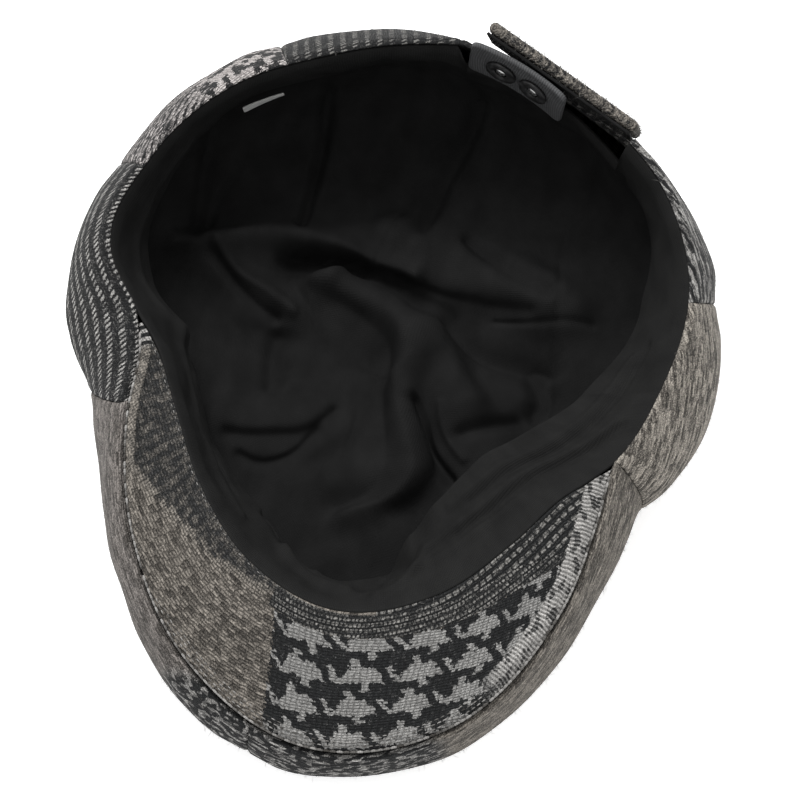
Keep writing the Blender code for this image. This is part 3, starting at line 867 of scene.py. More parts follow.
def woven(name, roughness=0.95, specular=0.25):
    """A new cloth, matt as wool unless said otherwise, and both coordinates of its cloth map."""
    cloth = Cloth(name, roughness, specular=specular)
    return (cloth, *cloth.pair("cloth"))


# Colours, in linear light
COAL = (0.0095, 0.010, 0.0105, 1)
CHARCOAL = (0.020, 0.0205, 0.021, 1)
CHALK = (0.29, 0.282, 0.27, 1)
ASH = (0.17, 0.165, 0.155, 1)
DOVE = (0.14, 0.136, 0.128, 1)
TAUPE = (0.085, 0.075, 0.065, 1)
BARK = (0.034, 0.0305, 0.0265, 1)
FAWN = (0.205, 0.186, 0.162, 1)
ROSE = (0.18, 0.163, 0.151, 1)
SAND = (0.34, 0.31, 0.27, 1)
OAT = (0.21, 0.207, 0.20, 1)
PALE = (0.36, 0.335, 0.325, 1)
INK = (0.004, 0.004, 0.004, 1)
SLATE = (0.019, 0.019, 0.019, 1)
SOOT = (0.0065, 0.0065, 0.0065, 1)
GRAPHITE = (0.022, 0.022, 0.0215, 1)
RIBBON_DARK = (0.018, 0.0185, 0.019, 1)
RIBBON_LIGHT = (0.082, 0.083, 0.086, 1)
ENAMEL_DARK = (0.006, 0.006, 0.006, 1)
ENAMEL_WORN = (0.03, 0.03, 0.031, 1)
STEEL_DARK = (0.45, 0.45, 0.46, 1)
STEEL_LIGHT = (0.9, 0.9, 0.88, 1)
TAPE_DARK = (0.22, 0.22, 0.22, 1)
TAPE_LIGHT = (0.55, 0.55, 0.54, 1)
FIBRE_DARK = (0.02, 0.02, 0.02, 1)
FIBRE_LIGHT = (0.26, 0.25, 0.235, 1)
FLOOR_DARK = (0.88, 0.88, 0.88, 1)
FLOOR_LIGHT = (0.92, 0.92, 0.92, 1)
WHITE = (1, 1, 1, 1)

# Tweed: size of one crossing, of its fibres and of its slow unevenness
CROSSING = 0.00085
FIBRE_SIZE = 0.00042
MOTTLE_SIZE = 0.0045

# Seeds and detail of the noises that loosen the yarn, that are its fibres and that mottle it
LOOSE_SEEDS = (3.1, 7.7)
FIBRE_SEED = 9.2
MOTTLE_SEED = 1.3
WOOL_DETAIL = 2.0

# How far a yarn falls off towards the ends of a crossing, how far floats are shifted in their line,
# in lengths, how far fibres fray a pattern's edges and where those lie, how much fibres and mottling
# lighten and darken the wool, and relief of most tweeds in metres
YARN_FALL = 0.45
FLOAT_SHIFT = 9
WOOL_FRAY = 0.9
WOOL_EDGE = (0.05, 0.95)
SPECKLE = (-0.3, 2.3)
SPECKLE_LEAST = 0.1
MOTTLE = (0.6, 1.4)
TWEED_RELIEF = 0.0004

# Yarn of the grey tape, and for loose fibres and stitches the turns of their twist, where it starts
# and how much painted shade it puts along them
TAPE_YARN = 0.0004
YARN_TURNS = 6
YARN_START = 3
YARN_SHADE = 0.15


def crossings(x, y):
    """Plain weave: the rounded relief of the warp or weft, which is on top at every other crossing."""
    column, row = x.floor(), y.floor()
    sideways = (x - column) * 2 - 1
    lengthways = (y - row) * 2 - 1
    warp_up = ((column + row) % 2) < 1
    flat_side = sideways * sideways
    flat_end = lengthways * lengthways
    warp = (1 - flat_side) * (1 - flat_end * YARN_FALL)
    weft = (1 - flat_end) * (1 - flat_side * YARN_FALL)
    return weft.toward(warp, warp_up)


def loosened(cloth, x, y, amount, size=2.5):
    """Yarn coordinates pushed about by soft noise, as in felted wool."""
    first, second = ((cloth.noise(x / size, y / size, seed) - 0.5) * amount for seed in LOOSE_SEEDS)
    return x + first, y + second


def strokes(cloth, run, rise, length, seed):
    """Floats of yarn, a line to each whole rise, each about that many lines long.

    Gives each float's own lightness from 0 to 1, and its rounded relief.
    """
    line = rise.floor()
    shifted = run / length + cloth.chance(line, seed) * FLOAT_SHIFT
    lightness = cloth.chance(line, shifted.floor(), seed + 1.0)
    side = (rise - line) * 2 - 1
    end = (shifted % 1) * 2 - 1
    return lightness, (1 - side * side) * (1 - end * end * end * end)


def wool(cloth, light, dark_colour, light_colour, relief, u, v, seed=0.0, deep=0.55):
    """A tweed's colour: dark to light yarn with ragged edges, speckled by its fibres, mottled, and
    with painted shade between the yarns, darker by up to deep where the relief is low.
    """
    fibre = cloth.noise(u / FIBRE_SIZE, v / FIBRE_SIZE, seed + FIBRE_SEED, WOOL_DETAIL)
    mottle = cloth.noise(u / MOTTLE_SIZE, v / MOTTLE_SIZE, seed + MOTTLE_SEED, WOOL_DETAIL)
    ragged = (light + (fibre - 0.5) * WOOL_FRAY).soft(*WOOL_EDGE)
    colour = cloth.blend(ragged, dark_colour, light_colour)
    speckle = fibre.spread(*SPECKLE).most(SPECKLE_LEAST) * mottle.spread(*MOTTLE)
    # Painted shade: the colour darkens where the relief is low, between the yarns.
    return cloth.shade(colour, speckle * relief.spread(1 - deep, 1))


# Striped tweed: length of its floats, their slant along the rim and down from it, where a stripe
# starts, how ragged the floats' ends and the stripes' edges are, where both fade out, how light the
# floats, stripes and specks are, and shares of weave and stripe in the relief
STRIPE_FLOAT = 0.0016
STRIPE_SLANT = -0.5
UPRIGHT_SLANT = 0.3
STRIPE_START = 0.45
FLOAT_RAGGED = 0.7
STRIPE_RAGGED = 0.26
FLOAT_EDGE = (0.42, 0.10)
STRIPE_EDGE = (0.29, 0.14)
FLOAT_LIGHT = (0.3, 1.2)
STRIPE_LIGHT = 1.3
SPECK_ABOVE = 0.66
SPECK_LIGHT = 0.20
SPECK_HIDDEN = 0.7
WEAVE_SHARE = 0.5
STRIPE_LIFT = 0.8


def striped_cloth(name, upright, pitch, light_colour):
    """Charcoal tweed with light stripes of short slanted floats, along the rim or, where upright,
    down from it.
    """
    cloth, u, v = woven(name)
    slant = STRIPE_SLANT
    if upright:
        u, v = v, u
        slant = UPRIGHT_SLANT
    ragged = cloth.lumps("stripe", u, v) - 0.5
    x, y = loosened(cloth, (u + v * slant) / STRIPE_FLOAT, v / pitch + STRIPE_START,
                    amount=0.34, size=1.1)
    floats = (x + ragged * FLOAT_RAGGED).bars(*FLOAT_EDGE)
    stripe = (y + ragged * STRIPE_RAGGED).bars(*STRIPE_EDGE)
    own = cloth.chance(x.floor(), y.floor()).spread(*FLOAT_LIGHT)
    weave_x, weave_y = loosened(cloth, u / CROSSING, v / CROSSING, amount=0.6)
    weave = crossings(weave_x, weave_y) * WEAVE_SHARE
    speck = (cloth.chance(weave_x.floor(), weave_y.floor()) > SPECK_ABOVE) * SPECK_LIGHT
    light = (stripe * floats * own * STRIPE_LIGHT).most(speck * (1 - stripe * SPECK_HIDDEN))
    colour = wool(cloth, light, COAL, light_colour, weave + light * WEAVE_SHARE, u, v)
    return cloth.done(colour, weave + light * STRIPE_LIFT, depth=0.0005)


# Pale tweed: size and slants of its fine floats, pitch, slant, raggedness, width and darkness of the
# dark lines over them, and how light they are. Then size and slant of the blocks, how light they
# are, and where along the rim they give way to the floats.
PALE_FLOAT = (0.0009, 0.00095)
PALE_SLANTS = (0.6, 0.25)
LINE_PITCH = 0.0040
LINE_SLANT = 1.3
LINE_RAGGED = 0.22
LINE_WIDTH = 0.4
LINE_DARK = 0.5
PALE_LIGHT = (0.12, 0.97)
BLOCK_SIZE = (0.0021, 0.0026)
BLOCK_SLANT = 0.2
BLOCK_ABOVE = 0.5
BLOCK_LIGHT = 0.9
BLOCK_FLOATS = 0.2
BLOCKS_EDGE = (0.010, 0.0)
BLOCKS_RAGGED = 0.006


def checked_cloth(name):
    """Pale tweed: fine slanted floats at the left, and chunky broken blocks towards the back."""
    cloth, u, v = woven(name)
    across, down = PALE_SLANTS
    x, y = loosened(cloth, (u - v * across) / PALE_FLOAT[0], (v + u * down) / PALE_FLOAT[1], amount=1.0)
    own, relief = strokes(cloth, x, y, length=2.2, seed=4.0)
    dark_line = (((u + v * LINE_SLANT) / LINE_PITCH + own * LINE_RAGGED) % 1) < LINE_WIDTH
    fine = own.spread(*PALE_LIGHT) - dark_line * LINE_DARK
    x, y = loosened(cloth, (u + v * BLOCK_SLANT) / BLOCK_SIZE[0], v / BLOCK_SIZE[1],
                    amount=1.4, size=0.5)
    chunk = (cloth.chance(x.floor(), y.floor(), 3.0) > BLOCK_ABOVE) * BLOCK_LIGHT + own * BLOCK_FLOATS
    bold = (u + (own - 0.5) * BLOCKS_RAGGED).soft(*BLOCKS_EDGE)
    light = fine.toward(chunk, bold)
    colour = wool(cloth, light, COAL, PALE, relief, u, v, seed=2.0, deep=0.6)
    return cloth.done(colour, relief, TWEED_RELIEF)


# Twill: how much finer its second set of floats is and its weight, how many floats from one dark
# line to the next and half its width, and shares of the two sets in the painted shade between the
# yarns and in the relief
FINER = 2.1
FINER_WEIGHT = 0.6
TWILL_LINE_PITCH = 2.6
TWILL_LINE_HALF = 0.16
TWILL_SHADE = (0.6, 0.4)
TWILL_RELIEF = (0.7, 0.3)


def twill_cloth(name, turn, pitch, length, dark_colour, light_colour, contrast, seed, gap=0.0):
    """Twill: floats of mixed lightness that lie at a turn from the rim, with dark lines between."""
    cloth, u, v = woven(name)
    c, s = math.cos(turn), math.sin(turn)
    run, rise = loosened(cloth, (v * s - u * c) / pitch, (u * s + v * c) / pitch, amount=1.1)
    own, relief = strokes(cloth, run, rise, length, seed)
    fine, fine_relief = strokes(cloth, run * FINER, rise * FINER, length, seed + 6.0)
    dark_line = ((rise / TWILL_LINE_PITCH).off_middle() < TWILL_LINE_HALF) * gap
    light = (own - 0.5) * contrast + (fine - 0.5) * contrast * FINER_WEIGHT + 0.5 - dark_line
    shade, height = (relief * share + fine_relief * rest for share, rest in (TWILL_SHADE, TWILL_RELIEF))
    colour = wool(cloth, light, dark_colour, light_colour, shade, u, v, seed, deep=0.5)
    return cloth.done(colour, height, TWEED_RELIEF)


# Outer band: where its patterned tip starts and ends along Y, pitch and slant of its floats, how
# light they are, and how ragged and light the tip's blotches are
TIP_EDGE = (-0.1075, -0.1125)
OUTER_FLOAT = 0.0011
OUTER_SLANT = 0.6
OUTER_LIGHT = (0.25, 0.85)
BLOTCH_RAGGED = 0.3
BLOTCH_EDGE = (0.49, 0.56)
BLOTCH_LIGHT = (0.28, 0.78)


def outer_cloth(name, light_colour):
    """Taupe tweed of the outer band, with dark and light blotches at the tip of the peak."""
    cloth, u, v = woven(name)
    tip = cloth.place()[1].soft(*TIP_EDGE)
    ragged = cloth.lumps("tip", u, v) - 0.5
    run, rise = loosened(cloth, (u + v * OUTER_SLANT) / OUTER_FLOAT, v / OUTER_FLOAT, amount=1.2)
    own, relief = strokes(cloth, run, rise, length=3.0, seed=3.0)
    blotch = (cloth.lumps("tip_blotch", u, v) + ragged * BLOTCH_RAGGED).soft(*BLOTCH_EDGE)
    light = own.spread(*OUTER_LIGHT).toward(blotch * own.spread(*BLOTCH_LIGHT), tip)
    dark = cloth.blend(tip, BARK, COAL)
    bright = cloth.blend(tip, light_colour, CHALK)
    colour = wool(cloth, light, dark, bright, relief, u, v, seed=3.0, deep=0.45)
    return cloth.done(colour, relief, depth=0.0003)


# Houndstooth: yarns in one repeat along and down, and half the height of its light body
TOOTH_COLUMNS = 16
TOOTH_ROWS = 11
TOOTH_HALF = 2.7

# Its parts, in yarns: the body's left side and its slant, then its right side. For the hook and the
# spikes above and below it: middle, slant and half width. A spike's middle is the one at so many
# yarns above or below the body's, and the hook's repeat starts so many to the left.
TOOTH_BODY = (-4.6, 0.4, 5.2, 0.75)
TOOTH_HOOK = (-7.3, 0.75, 0.85)
TOOTH_ABOVE = (-1.6, 0.35, 1.15)
TOOTH_BELOW = (2.2, 0.2, 1.1)
SPIKE_FROM = 4
HOOK_START = 12


def slanted_bar(along, down, middle, slant, half):
    """1 within half a width of a line that passes the middle and moves by the slant as it goes down."""
    return (along - middle - down * slant).size() < half


def houndstooth(x, y):
    """1 in the light figure: a slanted body with a spike above and below and a hook at its left.

    Its middle is where x and y, counted in yarns, are whole repeats.
    """
    along = ((x + TOOTH_COLUMNS / 2) % TOOTH_COLUMNS) - TOOTH_COLUMNS / 2
    hooked = ((x + HOOK_START) % TOOTH_COLUMNS) - HOOK_START
    down = ((y + TOOTH_ROWS / 2) % TOOTH_ROWS) - TOOTH_ROWS / 2
    level = down.size() < TOOTH_HALF
    left, left_slant, right, right_slant = TOOTH_BODY
    body = (along > left - down * left_slant) * (along < right + down * right_slant) * level
    hook = slanted_bar(hooked, down, *TOOTH_HOOK) * level
    above = slanted_bar(along, down + SPIKE_FROM, *TOOTH_ABOVE) * (down < 0)
    below = slanted_bar(along, down - SPIKE_FROM, *TOOTH_BELOW) * (down > 0)
    return body.most(hook).most(above).most(below)


# Houndstooth's yarn: over how many yarns one ends early or late, by how many, how ragged it is, how
# light it and the flecks beside it are, and how wide a crossing is
TOOTH_RUN = (6, 5)
TOOTH_EARLY = (1.5, 0.9)
TOOTH_RAGGED = (2.2, 1.8)
TOOTH_LIGHT = 0.9
TOOTH_FLECK_ABOVE = 0.86
TOOTH_FLECK = 0.15
TOOTH_CROSSING = 1.6


def tooth_block(cloth, column, row, ragged):
    """Light and relief of the houndstooth, whose yarns end a little early or late."""
    x, y = loosened(cloth, column * TOOTH_COLUMNS, row * TOOTH_ROWS, amount=0.8)
    early = cloth.chance(y.floor(), (x / TOOTH_RUN[0]).floor(), 3.0) - 0.5
    late = cloth.chance((y / TOOTH_RUN[1]).floor(), x.floor(), 5.0) - 0.5
    figure = houndstooth(x + early * TOOTH_EARLY[0] + ragged * TOOTH_RAGGED[0],
                         y + late * TOOTH_EARLY[1] + ragged * TOOTH_RAGGED[1])
    fleck = (cloth.chance(x.floor(), y.floor(), 7.0) > TOOTH_FLECK_ABOVE) * TOOTH_FLECK
    return (figure * TOOTH_LIGHT).most(fleck), crossings(x / TOOTH_CROSSING, y)


# Plain blocks: how light the taupe floats are, where the blotches fade, pitch, drift, width and
# darkness of the dim bars over them, and weights of blotches and floats. Their border: how ragged
# and how soft it is, and the ribbed strip along it.
TAUPE_LIGHT = (0.18, 0.72)
PEAK_BLOTCH_EDGE = (0.3, 0.7)
DIM_PITCH = 0.0042
DIM_DRIFT = 0.5
DIM_WIDTH = 0.4
DIM_DARK = 0.16
BLOTCH_WEIGHTS = (0.32, 0.18)
BORDER_RAGGED = 0.004
BORDER_EDGE = (-0.0008, 0.0008)
RIBBED_EDGE = (0.0028, 0.0012)
RIBBED_WAVE = 0.3
RIBBED_MIDDLE = 0.7
RIBBED_FLOATS = (-0.1, 0.5)
RIBBED_WEIGHT = 0.8


def plain_blocks(cloth, u, reach, border, wide, own, ragged):
    """Light of the taupe block and of the blotchy one beside the sweatband, and which is which."""
    blotch = cloth.lumps("peak_blotch", u, reach).soft(*PEAK_BLOTCH_EDGE)
    drift = cloth.lumps("dim_bars", u, reach) * DIM_DRIFT
    dim_bars = (((u / DIM_PITCH + drift) % 1) < DIM_WIDTH) * DIM_DARK
    blotches = (blotch * BLOTCH_WEIGHTS[0] + own * BLOTCH_WEIGHTS[1] - dim_bars).most(0.0)
    inside = (border + ragged * BORDER_RAGGED).soft(*BORDER_EDGE)
    ribbed = (wide.wave() * RIBBED_WAVE + RIBBED_MIDDLE) * own.soft(*RIBBED_FLOATS)
    along_border = border.size().soft(*RIBBED_EDGE)
    light = own.spread(*TAUPE_LIGHT).toward(blotches, inside)
    return light.toward(ribbed, along_border, RIBBED_WEIGHT), inside


# Fine strip: pitch of its rows and flecks, how ragged its rows are, where rows and flecks fade, and
# how light they are. Dashes beside it: pitch, length, slope and shift of their lines, how ragged
# lines and dashes are, where both fade, and how light they and the ground are.
FLECK_PITCH = 0.0017
FLECK_RAGGED = 0.3
FLECK_ROW_EDGE = (0.46, 0.20)
FLECK_EDGE = (0.42, 0.22)
FLECK_LIGHT = (0.15, 1.05)
FLECK_GROUND = 0.06
DASH_PITCH = 0.0029
DASH_LENGTH = 0.0032
DASH_SLOPE = 0.05
DASH_SHIFT = 0.37
DASH_RAGGED = (0.3, 0.6)
DASH_ROW_EDGE = (0.32, 0.12)
DASH_EDGE = (0.46, 0.26)
DASH_LIGHT = (0.38, 1.13)
DASH_GROUND = 0.08


def fleck_block(u, reach, own, ragged):
    """Light of the fine strip: rows of short flecks, each row shifted by half a fleck."""
    rows = (reach / FLECK_PITCH + ragged * FLECK_RAGGED).bars(*FLECK_ROW_EDGE)
    shifted = u / FLECK_PITCH + (reach / FLECK_PITCH).floor() * 0.5 + ragged
    return rows * shifted.bars(*FLECK_EDGE) * own.spread(*FLECK_LIGHT) + FLECK_GROUND


def dash_block(u, reach, own, ragged):
    """Light of the rows of dashes between the fine strip and the sweatband."""
    slanted = reach / DASH_PITCH + u / DASH_SLOPE + ragged * DASH_RAGGED[0]
    lines = slanted.bars(*DASH_ROW_EDGE)
    shifted = u / DASH_LENGTH + slanted.floor() * DASH_SHIFT + ragged * DASH_RAGGED[1]
    dashes = lines * shifted.bars(*DASH_EDGE) * own.spread(*DASH_LIGHT)
    return dashes + own * DASH_GROUND


# Rolled edge: pitch along, slope and drift of its ribs, where its patches fade, and how light they
# are. Azimuths over which the bold part and the zebra part set in, pitch and edge of the zebra's
# bars, lightness of the faint ribs, and where the roll ends, at the left and in the bold part.
RIB_PITCH = 0.00115
RIB_SLOPE = 0.0030
RIB_DRIFT = 0.9
PATCH_EDGE = (0.38, 0.52)
PATCH_RIBS = (0.3, 0.8)
PATCH_LIGHT = 0.5
PATCH_GROUND = 0.14
BOLD_AZIMUTHS = (297, 304)
ZEBRA_AZIMUTHS = (201.5, 199.0)
ZEBRA_PITCH = 0.0027
ZEBRA_EDGE = (-0.3, 0.4)
FAINT_RIBS = 0.16
FAINT_FLOATS = 0.34
FAINT_GROUND = 0.34
LEFT_ROLL = (0.0040, 0.0032)
LEFT_ROLL_AZIMUTHS = (236, 222)
BOLD_ROLL = (0.0078, 0.0068)
BOLD_RAGGED = 0.002


def rolled_edge_block(cloth, u, inset, turn, own, ragged):
    """Light of the peak's rolled edge, where it lies, its ribs, and its bold and zebra parts: bold
    ribs across it at the right, faint ones at the left and zebra ribs at its left end.
    """
    drift = cloth.lumps("ribs", u, inset) * RIB_DRIFT
    ribs = (u / RIB_PITCH + inset / RIB_SLOPE + drift).wave() * 0.5 + 0.5
    patches = cloth.lumps("patches", u, inset).soft(*PATCH_EDGE)
    bold = turn.soft(*BOLD_AZIMUTHS)
    zebra = turn.soft(*ZEBRA_AZIMUTHS)
    bars = (u / ZEBRA_PITCH).wave().soft(*ZEBRA_EDGE)
    faint = ribs * FAINT_RIBS + own * FAINT_FLOATS + FAINT_GROUND
    strong = ribs * patches.spread(*PATCH_RIBS) + patches * PATCH_LIGHT + PATCH_GROUND
    light = faint.toward(strong, bold).toward(bars, zebra)
    left_roll = inset.soft(*LEFT_ROLL) * turn.soft(*LEFT_ROLL_AZIMUTHS)
    on_roll = left_roll.most((inset + ragged * BOLD_RAGGED).soft(*BOLD_ROLL) * bold)
    return light, on_roll, ribs, bold, zebra


# Peak's tweed: size of its yarns, azimuths where the dashes and the fine strip start, column where
# the houndstooth starts and how ragged its borders are, and how far ribs take over the relief
PEAK_YARN = (0.00115, 0.0010)
DASHES_FROM = 283
STRIP_FROM = 262
TOOTH_FROM = -0.56
TOOTH_BORDER_RAGGED = 0.25
RIB_DEPTH = (0.3, 0.9)


def patchwork_cloth():
    """The peak's tweed, woven in blocks: blotches, taupe, houndstooth, a fine strip and dashes."""
    cloth, u, reach = woven("patchwork tweed")
    column, row = cloth.pair("motif")
    turn, inset, across, border = (cloth.attribute(name) for name in ("turn", "inset", "strip", "border"))
    wide, deep = loosened(cloth, u / PEAK_YARN[0], reach / PEAK_YARN[1], amount=1.0)
    own, relief = strokes(cloth, wide, deep, length=2.4, seed=2.0)
    ragged = cloth.lumps("peak", u, reach) - 0.5
    tooth, tooth_relief = tooth_block(cloth, column, row, ragged)
    plain, inside = plain_blocks(cloth, u, reach, border, wide, own, ragged)
    roll, on_roll, ribs, bold, zebra = rolled_edge_block(cloth, u, inset, turn, own, ragged)
    uneven = ragged * TOOTH_BORDER_RAGGED
    in_tooth = (across + uneven > 1) * (column + uneven > TOOTH_FROM)
    in_dashes = (turn > DASHES_FROM) * (across < 0)
    in_strip = (across > 0) * (across < 1) * (turn > STRIP_FROM)
    light = plain.toward(fleck_block(u, reach, own, ragged), in_strip)
    light = light.toward(dash_block(u, reach, own, ragged), in_dashes)
    light = light.toward(tooth, in_tooth).toward(roll, on_roll)

    # Cool dark yarn in the patterned blocks, warm in the plain ones, and light yarn to match
    patterned = (bold * on_roll).most(zebra)
    dark = cloth.blend(inside, cloth.blend(own, BARK, TAUPE), CHARCOAL)
    dark = cloth.blend(in_tooth.most(in_strip).most(in_dashes).most(patterned), dark, COAL)
    bright = cloth.blend(in_strip.most(in_dashes), FAWN, ASH)
    bright = cloth.blend(in_tooth, bright, OAT)
    bright = cloth.blend(patterned, bright, CHALK)
    knit = relief.toward(tooth_relief, in_tooth)
    knit = knit.toward(ribs, on_roll, bold.spread(*RIB_DEPTH))
    colour = wool(cloth, light, dark, bright, knit, u, reach, seed=3.0)
    return cloth.done(colour, knit, TWEED_RELIEF)


# Black cotton: its relief in metres, where its lint shows, weights of wear and lint, and how far
# the weave's hollows hold back the paler colour, which is painted sheen on the yarns' tops and
# painted shade between them. Ribbon: pitch of its ribs, weights of ribs and fibres in its tone, the
# ribs' share being painted shade between them, and what comes off that, how far wear darkens and
# lightens it, and weight of the fibres in its relief.
COTTON_RELIEF = 0.00012
LINT_EDGE = (0.62, 0.9)
WEAR_WEIGHT = 0.7
LINT_WEIGHT = 0.5
WEAVE_LIGHT = (0.6, 1.0)
RIBBON_PITCH = 0.0009
RIBBON_WEIGHTS = (0.3, 0.8)
RIBBON_DARKER = 0.1
RIBBON_WEAR = (0.6, 1.4)
RIBBON_FIBRES = 0.3


def black_cloth(name, colour, pitch, wear_and_sheen_colour):
    """Plain black cotton: a fine weave, slightly uneven, pale lint here and there, and painted sheen on
    the yarns' tops with painted shade between them.
    """
    cloth, u, v = woven(name, roughness=0.85, specular=0.07)
    relief = crossings(*loosened(cloth, u / pitch, v / pitch, amount=0.4))
    worn = cloth.lumps("cotton", u, v) * WEAR_WEIGHT
    lint = cloth.lumps("lint", u, v).soft(*LINT_EDGE) * LINT_WEIGHT
    # Painted sheen and shade: the yarns' tops take more of the paler colour than the hollows between them,
    # on top of the wear and lint.
    tone = cloth.blend((worn + lint) * relief.spread(*WEAVE_LIGHT), colour, wear_and_sheen_colour)
    return cloth.done(tone, relief, COTTON_RELIEF)


def grosgrain_cloth(name):
    """Dark ribbed ribbon: fine ribs across its length, lighter on their tops and darker between them as
    painted shade, and a little worn.
    """
    cloth, u, v = woven(name, roughness=0.7)
    rib = (u / RIBBON_PITCH).wave() * 0.5 + 0.5
    worn = cloth.lumps("ribbon", u, v).spread(*RIBBON_WEAR)
    fibre = cloth.lumps("ribbon_fibre", u, v)
    # The ribs' share of the tone is painted shade: lighter on each rib, darker between ribs.
    light = (rib * RIBBON_WEIGHTS[0] + fibre * RIBBON_WEIGHTS[1] - RIBBON_DARKER).soft(0, 1)
    tone = cloth.blend(light, RIBBON_DARK, RIBBON_LIGHT)
    return cloth.done(cloth.shade(tone, worn), rib + fibre * RIBBON_FIBRES, COTTON_RELIEF)


# Press studs: size of the scuffs on the enamel and on the steel, how rough both are where they are
# smooth and where they are scuffed, and where the enamel's wear shows
ENAMEL_SCUFF = (0.002, 0.002, 0.002)
STEEL_SCUFF = (0.0006, 0.003, 0.003)
ENAMEL_ROUGH = (0.35, 0.70)
STEEL_ROUGH = (0.15, 0.50)
ENAMEL_WEAR = (0.4, 0.8)


def scuffed(cloth, size, rough):
    """Noise of that size in object coordinates, which also roughens the material."""
    x, y, z = (part / length for part, length in zip(cloth.place(), size))
    scuff = cloth.noise(x, y, z, detail=3.0)
    cloth.feed(cloth.shader.inputs["Roughness"], scuff.spread(*rough))
    return scuff


def enamel(name):
    """Black enamel, with faint wear that dulls it in places."""
    cloth = Cloth(name, roughness=0.4, specular=0.3)
    worn = scuffed(cloth, ENAMEL_SCUFF, ENAMEL_ROUGH).soft(*ENAMEL_WEAR)
    return cloth.done(cloth.blend(worn, ENAMEL_DARK, ENAMEL_WORN))


def steel(name):
    """Bright steel with fine scuffs."""
    cloth = Cloth(name, roughness=0.25, metallic=1.0, specular=0.5)
    return cloth.done(cloth.blend(scuffed(cloth, STEEL_SCUFF, STEEL_ROUGH), STEEL_DARK, STEEL_LIGHT))


def tape_cloth(name):
    """Grey woven tape, with painted shade between its yarns: its relief sets its colour."""
    cloth, u, v = woven(name, roughness=0.8)
    relief = crossings(u / TAPE_YARN, v / TAPE_YARN)
    # Painted shade: the colour is darker where the weave's relief is low, between the yarns.
    return cloth.done(cloth.blend(relief, TAPE_DARK, TAPE_LIGHT), relief, depth=0.0001)


def yarn_cloth(name, dark_colour, light_colour):
    """Loose fibres and stitches: each has its own tone, kept as the first part of its map, and painted
    shade follows its twist along its length.
    """
    cloth = Cloth(name, roughness=0.9)
    tone, length = cloth.pair("yarn")
    # Painted shade along the twist.
    twist = (length * YARN_TURNS + tone * YARN_START).wave() * YARN_SHADE + (1 - YARN_SHADE)
    return cloth.done(cloth.shade(cloth.blend(tone, dark_colour, light_colour), twist))


def floor_paint():
    """Pale matt floor, very slightly uneven."""
    cloth = Cloth("pale floor", roughness=0.9)
    cloth.shader.inputs["Emission Strength"].default_value = FLOOR_GLOW
    cloth.feed(cloth.shader.inputs["Emission Color"], WHITE)
    return cloth.done(cloth.blend(cloth.lumps("floor", *cloth.place()[:2]), FLOOR_DARK, FLOOR_LIGHT))


# Cloths of the crown and strap: pitch of the stripes along the rim and down from it, and for each
# twill its turn from the rim, pitch, length of its floats, dark and light colour, contrast, seed and
# depth of its dark lines
STRIPE_PITCH = 0.0062
UPRIGHT_PITCH = 0.0041
TAUPE_TWILL = (math.radians(30), 0.0011, 4.5, BARK, SAND, 0.62, 2.0)
GREY_TWILL = (math.radians(23), 0.0014, 3.5, COAL, CHALK, 0.9, 5.0, 0.5)
STRAP_TWILL = (math.radians(40), 0.0008, 2.5, COAL, FAWN, 0.6, 9.0, 0.2)


def add_crown(fibres):
    """The eight panels of the crown, each of its own cloth, and the fibres that stand from them. The
    first panel stands for the CAD's crown.
    """
    lengthwise = striped_cloth("tweed striped along", False, STRIPE_PITCH, CHALK)
    upright = striped_cloth("tweed striped down", True, UPRIGHT_PITCH, DOVE)
    taupe = twill_cloth("taupe twill", *TAUPE_TWILL)
    outer_left = outer_cloth("rosy outer band", ROSE)
    outer_right = outer_cloth("taupe outer band", FAWN)
    cloths = {
        "crown_left": lengthwise,
        "crown_back_left": checked_cloth("tweed checked"),
        "crown_back": upright,
        "crown_strap_side": upright,
        "crown_right_back": twill_cloth("grey twill", *GREY_TWILL),
        "crown_right": taupe,
        "crown_front_right": outer_right,
        "crown_front_left": outer_left,
    }
    faces = []
    for name, first, last in PANELS:
        nodes = ("crown",) if name == "crown_left" else ()
        faces.append(crown_panel(name, first, last, cloths[name], "tweed", *nodes))
    add_fuzz("crown_fuzz", faces, CROWN_FUZZ, CROWN_SEED, fibres, "tweed")


# Lines that part the blocks of the peak: azimuths, then millimetres out from the sweatband
STRIP_LOW = ((262, 280, 288, 305, 314, 323, 343), (0.4, 1.0, 1.8, 5.2, 7.5, 14, 18))
STRIP_HIGH = ((262, 268, 280, 288, 300, 312, 328, 343), (7.0, 7.6, 8.2, 9.2, 10.8, 13.0, 17.5, 20))
BLOTCH_BORDER = ((200, 225, 233, 241, 252, 258, 266, 272), (31, 19, 14.5, 11.1, 7, 5.5, 0, -3))


def peak_line(line, azimuth):
    """Distance from the sweatband, in metres, of a line that parts two blocks of the peak."""
    return np.interp(azimuth, *line) / MILLI


# Lattice of the houndstooth: azimuth it is counted from, degrees and metres that count as 1, and
# for its columns and rows the start and what they gain with the azimuth a, the distance d from the
# sweatband, a squared and a times d
LATTICE_AZIMUTH = 290
LATTICE_TURN = 20
LATTICE_REACH = 0.020
TOOTH_LATTICE = (
    (1.515, 1.422, 0.407, -0.035, 0.558),
    (-1.171, -0.629, 2.06, -0.34, 0.203),
)


def tooth_lattice(azimuth, reach):
    """Column and row of the houndstooth, whole numbers at its figures' middles.

    The columns fan out with the azimuth and the rows follow the sweatband, bending in at the right.
    """
    a = (azimuth - LATTICE_AZIMUTH) / LATTICE_TURN
    d = reach / LATTICE_REACH
    return np.stack([start + per_a * a + per_d * d + per_aa * a ** 2 + per_ad * a * d
                     for start, per_a, per_d, per_aa, per_ad in TOOTH_LATTICE], -1)


# Columns of the peak between its ends, and degrees over which its ends roll in
PEAK_COLUMNS = 270
PEAK_END = 1


